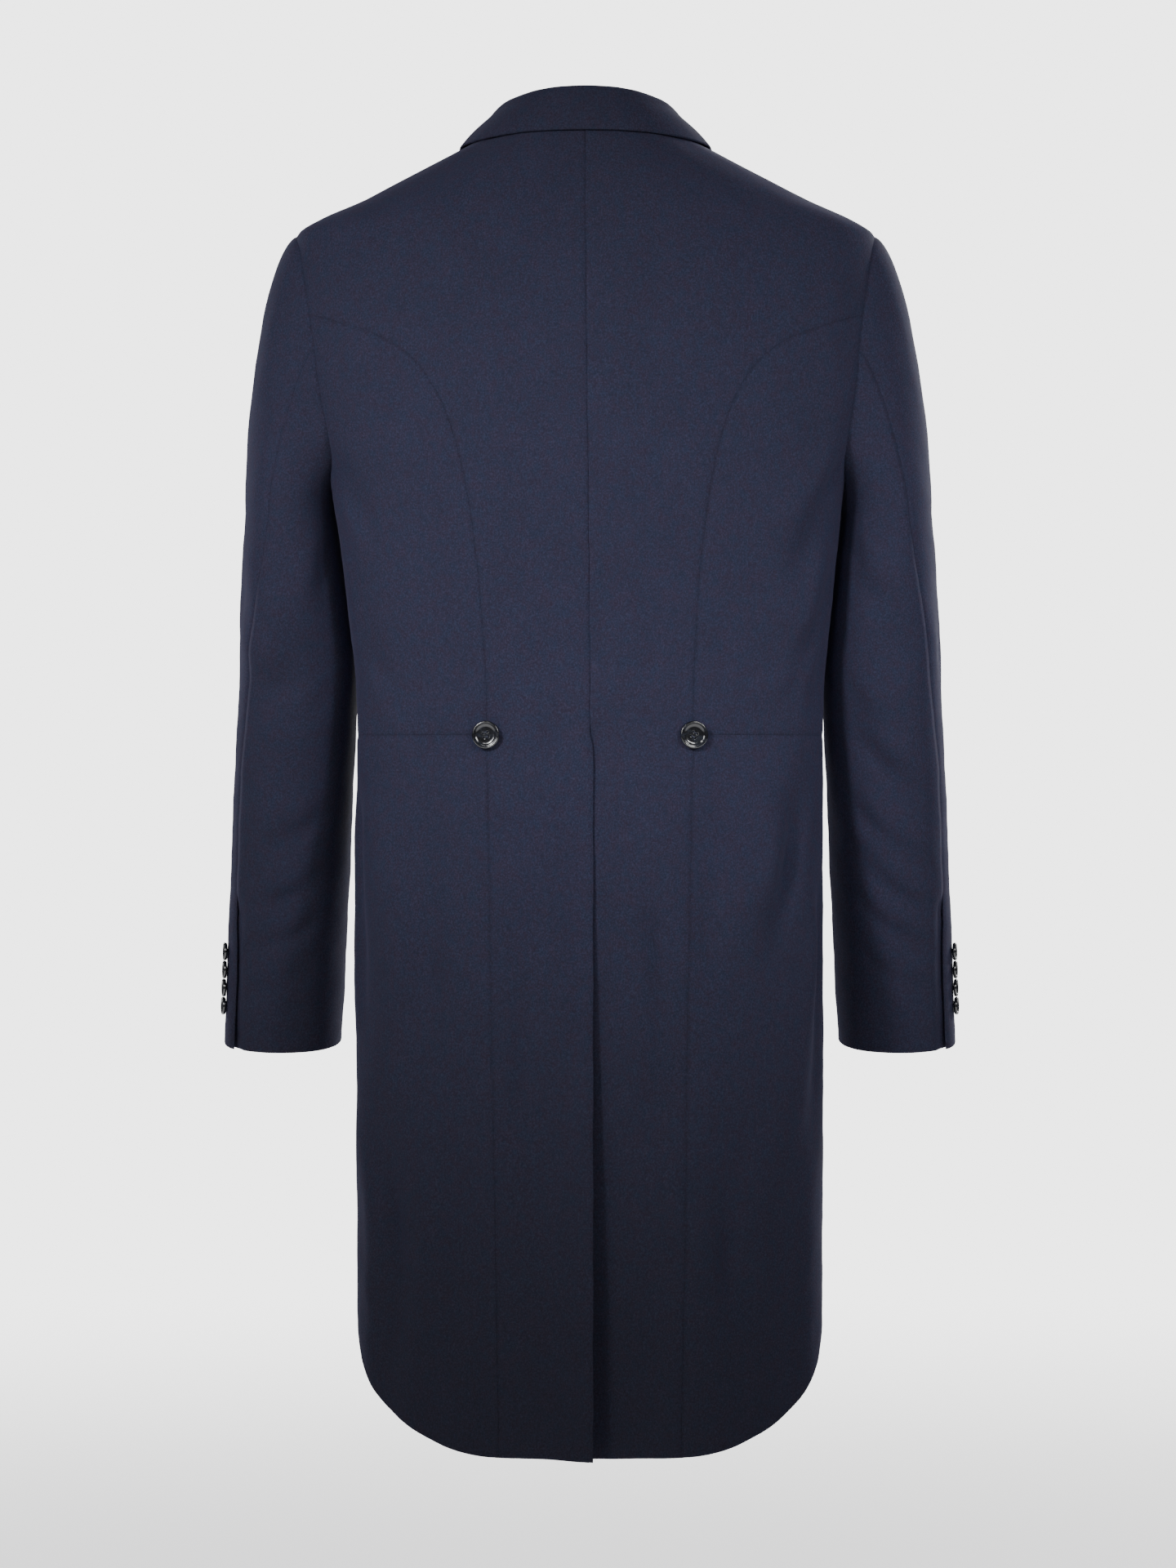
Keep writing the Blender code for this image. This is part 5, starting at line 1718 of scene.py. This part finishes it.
    def build(self) -> None:
        """Make both sleeves."""
        for side in (1, -1):
            for name, columns, moved, laps in (
                ("under_sleeve", UNDER_ANGLES, self.moved_under, self.underlap),
                ("top_sleeve", TOP_ANGLES, self.moved_top, ()),
            ):
                angles = subdivide(columns, self.column_steps)
                angles[0] += self.ring_gap
                angles[-1] -= self.ring_gap
                self.piece(name, angles, side, moved, laps)


@dataclass(frozen=True)
class ButtonSize:
    """A turned button's radius, thickness, and its holes' radius and distance from the middle."""

    radius: float
    thickness: float
    hole: float
    hole_out: float


@dataclass
class Buttons:
    """Horn buttons with a raised rim, a dished middle and four holes, sewn on with crossed thread."""

    horn: bpy.types.Material
    thread: bpy.types.Material
    sleeves: Sleeves
    stand: float = 0.9
    stem: float = 2.2
    dish: float = 1.0
    around: int = 96
    back: ButtonSize = field(default_factory=lambda: ButtonSize(11.0, 3.4, 0.85, 1.75))
    front: ButtonSize = field(default_factory=lambda: ButtonSize(10.0, 3.2, 0.8, 1.7))
    cuff: ButtonSize = field(default_factory=lambda: ButtonSize(7.3, 2.8, 0.6, 1.25))
    cuff_top: float = -652.0
    cuff_pitch: float = 14.8
    cuff_angle: float = 22.0
    cuff_count: int = 4
    front_level: float = -458.0
    hole_depth: float = 1.1
    hole_edge: float = 0.16
    flat_share: float = 0.5
    flat_rings: int = 16
    strand: float = 0.2
    stem_turns: int = 5

    def profile(self, size: ButtonSize) -> Array:
        """Return the turned outline as (radius, height), from the middle of the top to the middle below.

        Args:
            size: the button's size.

        Returns:
            Points of the outline.
        """
        r, top, foot = size.radius, self.stand + size.thickness, self.stand
        low = top - self.dish
        flat = [(k / self.flat_rings * self.flat_share * r, low) for k in range(self.flat_rings + 1)]
        rim = [
            (0.56 * r, low + 0.02), (0.62 * r, low + 0.12), (0.68 * r, low + 0.36), (0.73 * r, low + 0.66),
            (0.77 * r, top - 0.16), (0.80 * r, top - 0.1), (0.825 * r, top - 0.16), (0.85 * r, top - 0.12),
            (0.88 * r, top - 0.01), (0.915 * r, top), (0.945 * r, top - 0.09), (0.972 * r, top - 0.3),
            (0.99 * r, top - 0.62), (r, top - 1.05), (0.995 * r, foot + 0.45 * size.thickness),
            (0.97 * r, foot + 0.2 * size.thickness), (0.9 * r, foot + 0.02), (0.7 * r, foot),
            (0.3 * r, foot), (0.0, foot),
        ]
        return np.array(flat + rim)

    def disc(self, size: ButtonSize) -> tuple[Array, Array]:
        """Return the points and faces of one button, standing on its own base plane.

        Args:
            size: the button's size.

        Returns:
            Points in millimetres, and faces.
        """
        outline = self.profile(size)
        angle = np.arange(self.around) * 2 * math.pi / self.around
        r, z = outline[1:-1, 0][:, None], outline[1:-1, 1][:, None]
        x, y = r * np.cos(angle), r * np.sin(angle)
        top = z > self.stand + 0.5 * size.thickness
        deep = np.zeros(x.shape)
        for a in (1, -1):
            for b in (1, -1):
                away = np.hypot(x - a * size.hole_out, y - b * size.hole_out)
                deep = np.maximum(deep, ease((size.hole + self.hole_edge - away) / (2 * self.hole_edge)))
        dished = top & (r < self.flat_share * size.radius + 0.01)
        z = np.broadcast_to(z, x.shape) - np.where(dished, deep * self.hole_depth, 0)
        rings = np.stack([x, y, z], -1).reshape(-1, 3)
        points = np.concatenate([rings, [[0, 0, outline[0, 1]], [0, 0, outline[-1, 1]]]])
        count = len(outline) - 2
        index = np.arange(count * self.around).reshape(count, self.around)
        after = np.roll(index, -1, 1)
        quads = np.stack([index[:-1], index[1:], after[1:], after[:-1]], -1).reshape(-1, 4).tolist()
        top, below = count * self.around, count * self.around + 1
        caps = [[top, int(index[0, k]), int(after[0, k])] for k in range(self.around)]
        caps += [[below, int(after[-1, k]), int(index[-1, k])] for k in range(self.around)]
        return points, quads + caps

    def strands(self, size: ButtonSize) -> tuple[Array, list[list[int]]]:
        """Return the sewing thread: two bars of strands through the holes, and the wound stem below.

        Args:
            size: the button's size.

        Returns:
            Points in millimetres, and faces.
        """
        points, faces = [], []
        low = self.stand + size.thickness - self.dish
        h = size.hole_out
        for bar in (1, -1):
            for k in range(-1, 2):
                y = bar * h + k * self.strand * 1.5
                t = np.linspace(0, 1, 15)
                x = lerp(-h, h, t)
                z = low - 1.0 + 1.5 * np.sin(math.pi * t) ** 0.35 + 0.05 * k
                line = np.stack([x, y + 0.12 * np.sin(9 * t + k), z], -1)
                add_tube(points, faces, line, self.strand)
        turns = np.linspace(0, self.stem_turns * 2 * math.pi, 80)
        wound = self.stem * 0.72
        rise = lerp(-0.25, self.stand + 0.2, turns / turns[-1])
        line = np.stack([wound * np.cos(turns), wound * np.sin(turns), rise], -1)
        add_tube(points, faces, line, self.strand * 1.3)
        return np.array(points), faces

    def sew(
        self, name: str, size: ButtonSize, place: Array, normal: Array, side: int, spin: float
    ) -> None:
        """Put one button and its thread on a point of the cloth.

        Args:
            name: the button's name.
            size: its size.
            place: the point of the cloth.
            normal: the way out from the cloth there.
            side: the wearer's left (1) or right (-1).
            spin: how far its holes are turned, in radians.
        """
        normal = unit(normal)
        base = hung((place + normal * SEAM_GAP)[None], side)[0]
        axis = Vector((side * normal[0], normal[1], normal[2]))
        turn = axis.to_track_quat("Z", "Y").to_matrix()
        c, s = math.cos(spin), math.sin(spin)
        turn = np.array(turn) @ np.array(((c, -s, 0), (s, c, 0), (0, 0, 1)))
        for label, material, (points, faces), slot in (
            ("horn_", self.horn, self.disc(size), "horn"),
            ("thread_", self.thread, self.strands(size), "wool"),
        ):
            mesh = bpy.data.meshes.new(label + name)
            mesh.from_pydata((base + points @ turn.T * MM).tolist(), [], faces)
            mesh.shade_smooth()
            piece = add_piece(label + name, mesh, material)
            if label == "horn_":
                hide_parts(name)

    def build(self) -> None:
        """Sew on the waist button, the two at the back waist and four on each cuff."""
        level = np.array(self.front_level)
        turn = TORSO.turn_at(np.array(0.0), level, True)
        self.sew("front_button", self.front, TORSO.point(turn, level), TORSO.normal(turn, level), 1, 0.1)
        for side in (1, -1):
            x, level = (np.array(v) for v in BACK_SEAM[-1])
            turn = TORSO.turn_at(x, level)
            place, normal = TORSO.point(turn, level), TORSO.normal(turn, level)
            spin = 0.25 if side > 0 else -0.5
            self.sew(side_name("back_button", side), self.back, place, normal, side, spin)
            for i in range(self.cuff_count):
                level = np.array(self.cuff_top - i * self.cuff_pitch)
                angle = SLEEVE_RINGS.column(level, 5) + self.cuff_angle
                place = self.sleeves.ring(angle, level)
                round_arm = self.sleeves.ring(angle + 4, level) - self.sleeves.ring(angle - 4, level)
                down = self.sleeves.ring(angle, level - 20) - self.sleeves.ring(angle, level + 20)
                name = side_name("cuff_button", side) + f"_{i + 1}"
                self.sew(name, self.cuff, place, np.cross(round_arm, down), side, 0.3 * i)


def add_tube(points: list, faces: list, line: Array, radius: Array | float, sides: int = 8) -> None:
    """Add a round tube with closed ends along a line of points.

    Args:
        points: the mesh's points, to which the tube's are added.
        faces: the mesh's faces, to which the tube's are added.
        line: the tube's middle line.
        radius: its radius, or one for each point of the line.
        sides: how many sides it has.
    """
    run = unit(np.gradient(line, axis=0))
    across = unit(np.cross(run, np.array((0.13, 0.21, 0.97))))
    up = np.cross(across, run)
    start = len(points)
    wide = np.broadcast_to(np.asarray(radius, float), (len(line),))[:, None]
    angle = np.arange(sides) * 2 * math.pi / sides
    ring = across[:, None] * np.cos(angle)[None, :, None] + up[:, None] * np.sin(angle)[None, :, None]
    points.extend((line[:, None] + ring * wide[..., None]).reshape(-1, 3).tolist())
    for i in range(len(line) - 1):
        for k in range(sides):
            a, b = start + i * sides + k, start + i * sides + (k + 1) % sides
            faces.append([a, b, b + sides, a + sides])
    faces.append([start + k for k in range(sides)][::-1])
    faces.append([start + (len(line) - 1) * sides + k for k in range(sides)])


@dataclass
class Buttonhole:
    """The worked hole in the left front through which the waist button goes."""

    thread: bpy.types.Material
    level: float = -458.0
    inner_x: float = 1.5
    outer_x: float = 21.0
    half_height: float = 0.9
    purl: float = 0.42
    purl_out: float = 0.15
    stitches: int = 46

    def build(self) -> None:
        """Work the purl edge round the hole, one knot beside the other."""
        share = np.linspace(0, 1, self.stitches * 6 + 1)
        angle = 2 * math.pi * share
        middle, reach = (self.inner_x + self.outer_x) / 2, (self.outer_x - self.inner_x) / 2
        x = middle + reach * np.cos(angle)
        # The end towards the front edge, where the button's stem sits, is rounder
        height = self.half_height * np.sin(angle) * (0.75 + 0.4 * (np.cos(angle) < -0.6))
        level = self.level + height
        turn = TORSO.turn_at(x, level, True)
        line = TORSO.point(turn, level, BODY_HAND.height(turn * MM_PER_TURN, level) + self.purl_out)
        radius = self.purl * (0.82 + 0.18 * np.cos(angle * self.stitches))
        points, faces = [], []
        add_tube(points, faces, line, radius)
        mesh = bpy.data.meshes.new("thread_front_buttonhole")
        mesh.from_pydata(hung(np.array(points), 1).tolist(), [], faces)
        mesh.shade_smooth()
        add_piece("thread_front_buttonhole", mesh, self.thread)


@dataclass
class Studio:
    """A pale floor, soft lights and the camera behind the coat."""

    floor_level: float = -1450.0
    floor_radius: float = 9.0
    floor_sides: int = 96
    floor_rings: int = 12
    camera_at: Point = (-0.002, 4.0, -0.5177)
    camera_looks: Point = (0.0, -1.0, 0.0)
    lens: float = 114.5
    sensor: float = 36.0
    ambient: float = 0.1
    white: float = 3.6
    lamp_radius: float = 0.3
    # Panels that only polished things mirror, all turned to the coat's waist: name, place, size and power
    panels_look_at: Point = (0.0, 0.0, -0.45)
    panels: tuple[tuple[str, Point, tuple[float, float], float], ...] = (
        ("panel_left", (1.9, 2.6, 0.7), (1.3, 1.6), 70.0),
        ("panel_right", (-1.5, 3.0, 0.9), (0.7, 1.4), 45.0),
        ("panel_front", (-1.4, -2.6, 0.6), (1.4, 1.4), 60.0),
    )
    # Soft lamps in snoots: name, place, target, angle of the cone and power
    lamps: tuple[tuple[str, Point, Point, float, float], ...] = (
        ("key", (1.75, 2.25, 0.8), (0.05, 0.02, -0.36), 18.4, 188.0),
        ("fill", (-1.9, 2.1, 0.6), (-0.19, 0.02, -0.38), 18.0, 130.0),
        ("back", (0.7, 2.7, 1.2), (-0.02, 0.1, -0.36), 17.5, 40.0),
        ("front_key", (-2.2, -1.8, 0.9), (0.0, -0.05, -0.36), 34.0, 120.0),
        ("front_fill", (1.8, -2.2, 0.6), (0.0, -0.05, -0.36), 34.0, 60.0),
    )

    def floor(self) -> None:
        """Lay a round floor of pale paper that fades out towards its rim."""
        angle = np.linspace(0, 2 * math.pi, self.floor_sides + 1)[:-1]
        radius = np.linspace(0, self.floor_radius, self.floor_rings + 1)[1:]
        z = self.floor_level * MM
        points = [(0.0, 0.0, z)] + [(r * math.cos(a), r * math.sin(a), z) for r in radius for a in angle]
        count = len(angle)
        faces = [(0, 1 + k, 1 + (k + 1) % count) for k in range(count)]
        for i in range(len(radius) - 1):
            a, b = 1 + i * count, 1 + (i + 1) * count
            faces += [(a + k, b + k, b + (k + 1) % count, a + (k + 1) % count) for k in range(count)]
        mesh = bpy.data.meshes.new("paper_floor")
        mesh.from_pydata(points, [], faces)
        mesh.materials.append(PalePaper().make())
        floor = bpy.data.objects.new("paper_floor", mesh)
        # Its own light is for the eye alone and doesn't reach up under the hem
        floor.visible_diffuse = False
        bpy.context.scene.collection.objects.link(floor)

    def air(self) -> None:
        """Fill the room with soft light, in front of paper that looks white."""
        world = bpy.data.worlds.new("studio")
        world.use_nodes = True
        tree = world.node_tree
        soft = tree.nodes["Background"]
        soft.inputs["Strength"].default_value = self.ambient
        white = add_node(tree, "Background", {"Color": linear("#ffffff"), "Strength": self.white})
        seen = add_node(tree, "LightPath").outputs["Is Camera Ray"]
        both = add_node(tree, "MixShader", s0=seen, s1=soft.outputs[0], s2=white.outputs[0])
        tree.links.new(both.outputs[0], tree.nodes["World Output"].inputs["Surface"])
        soft.inputs["Color"].default_value = linear("#ffffff")
        bpy.context.scene.world = world

    @staticmethod
    def hang(name: str, data: bpy.types.ID, place: Vector, target: Vector) -> bpy.types.Object:
        """Add a lamp or the camera, turned towards a point.

        Args:
            name: what it is called.
            data: the lamp or the camera.
            place: where it hangs, in metres.
            target: the point that it looks at.

        Returns:
            The new object.
        """
        obj = bpy.data.objects.new(name, data)
        obj.location = place
        obj.rotation_mode = "QUATERNION"
        obj.rotation_quaternion = (target - place).to_track_quat("-Z", "Y")
        bpy.context.scene.collection.objects.link(obj)
        return obj

    def build(self) -> None:
        """Set the floor, the air, the lights and the camera."""
        self.floor()
        self.air()
        for name, place, target, cone, watts in self.lamps:
            lamp = bpy.data.lights.new(name, "SPOT")
            lamp.energy, lamp.spot_size, lamp.spot_blend = watts, math.radians(cone), 1.0
            lamp.shadow_soft_size = self.lamp_radius
            self.hang(name, lamp, Vector(place), Vector(target))
        for name, place, (width, height), watts in self.panels:
            lamp = bpy.data.lights.new(name, "AREA")
            lamp.shape, lamp.size, lamp.size_y, lamp.energy = "RECTANGLE", width, height, watts
            panel = self.hang(name, lamp, Vector(place), Vector(self.panels_look_at))
            panel.visible_diffuse = panel.visible_camera = False
        camera = bpy.data.cameras.new("camera")
        camera.lens, camera.sensor_width = self.lens, self.sensor
        place = Vector(self.camera_at)
        bpy.context.scene.camera = self.hang("camera", camera, place, place + Vector(self.camera_looks))


def main() -> None:
    """Build the coat, piece by piece, and the studio round it."""
    logging.basicConfig(level=logging.INFO, format="%(message)s")
    wool, horn, thread = WorstedWool().make(), PolishedHorn().make(), SilkThread().make()
    sleeves = Sleeves(wool)
    buttons = Buttons(horn, thread, sleeves)
    for part in (Body(wool), Lapels(wool), Collar(wool), sleeves, buttons, Buttonhole(thread)):
        part.build()
    Studio().build()


if __name__ == "__main__":
    main()
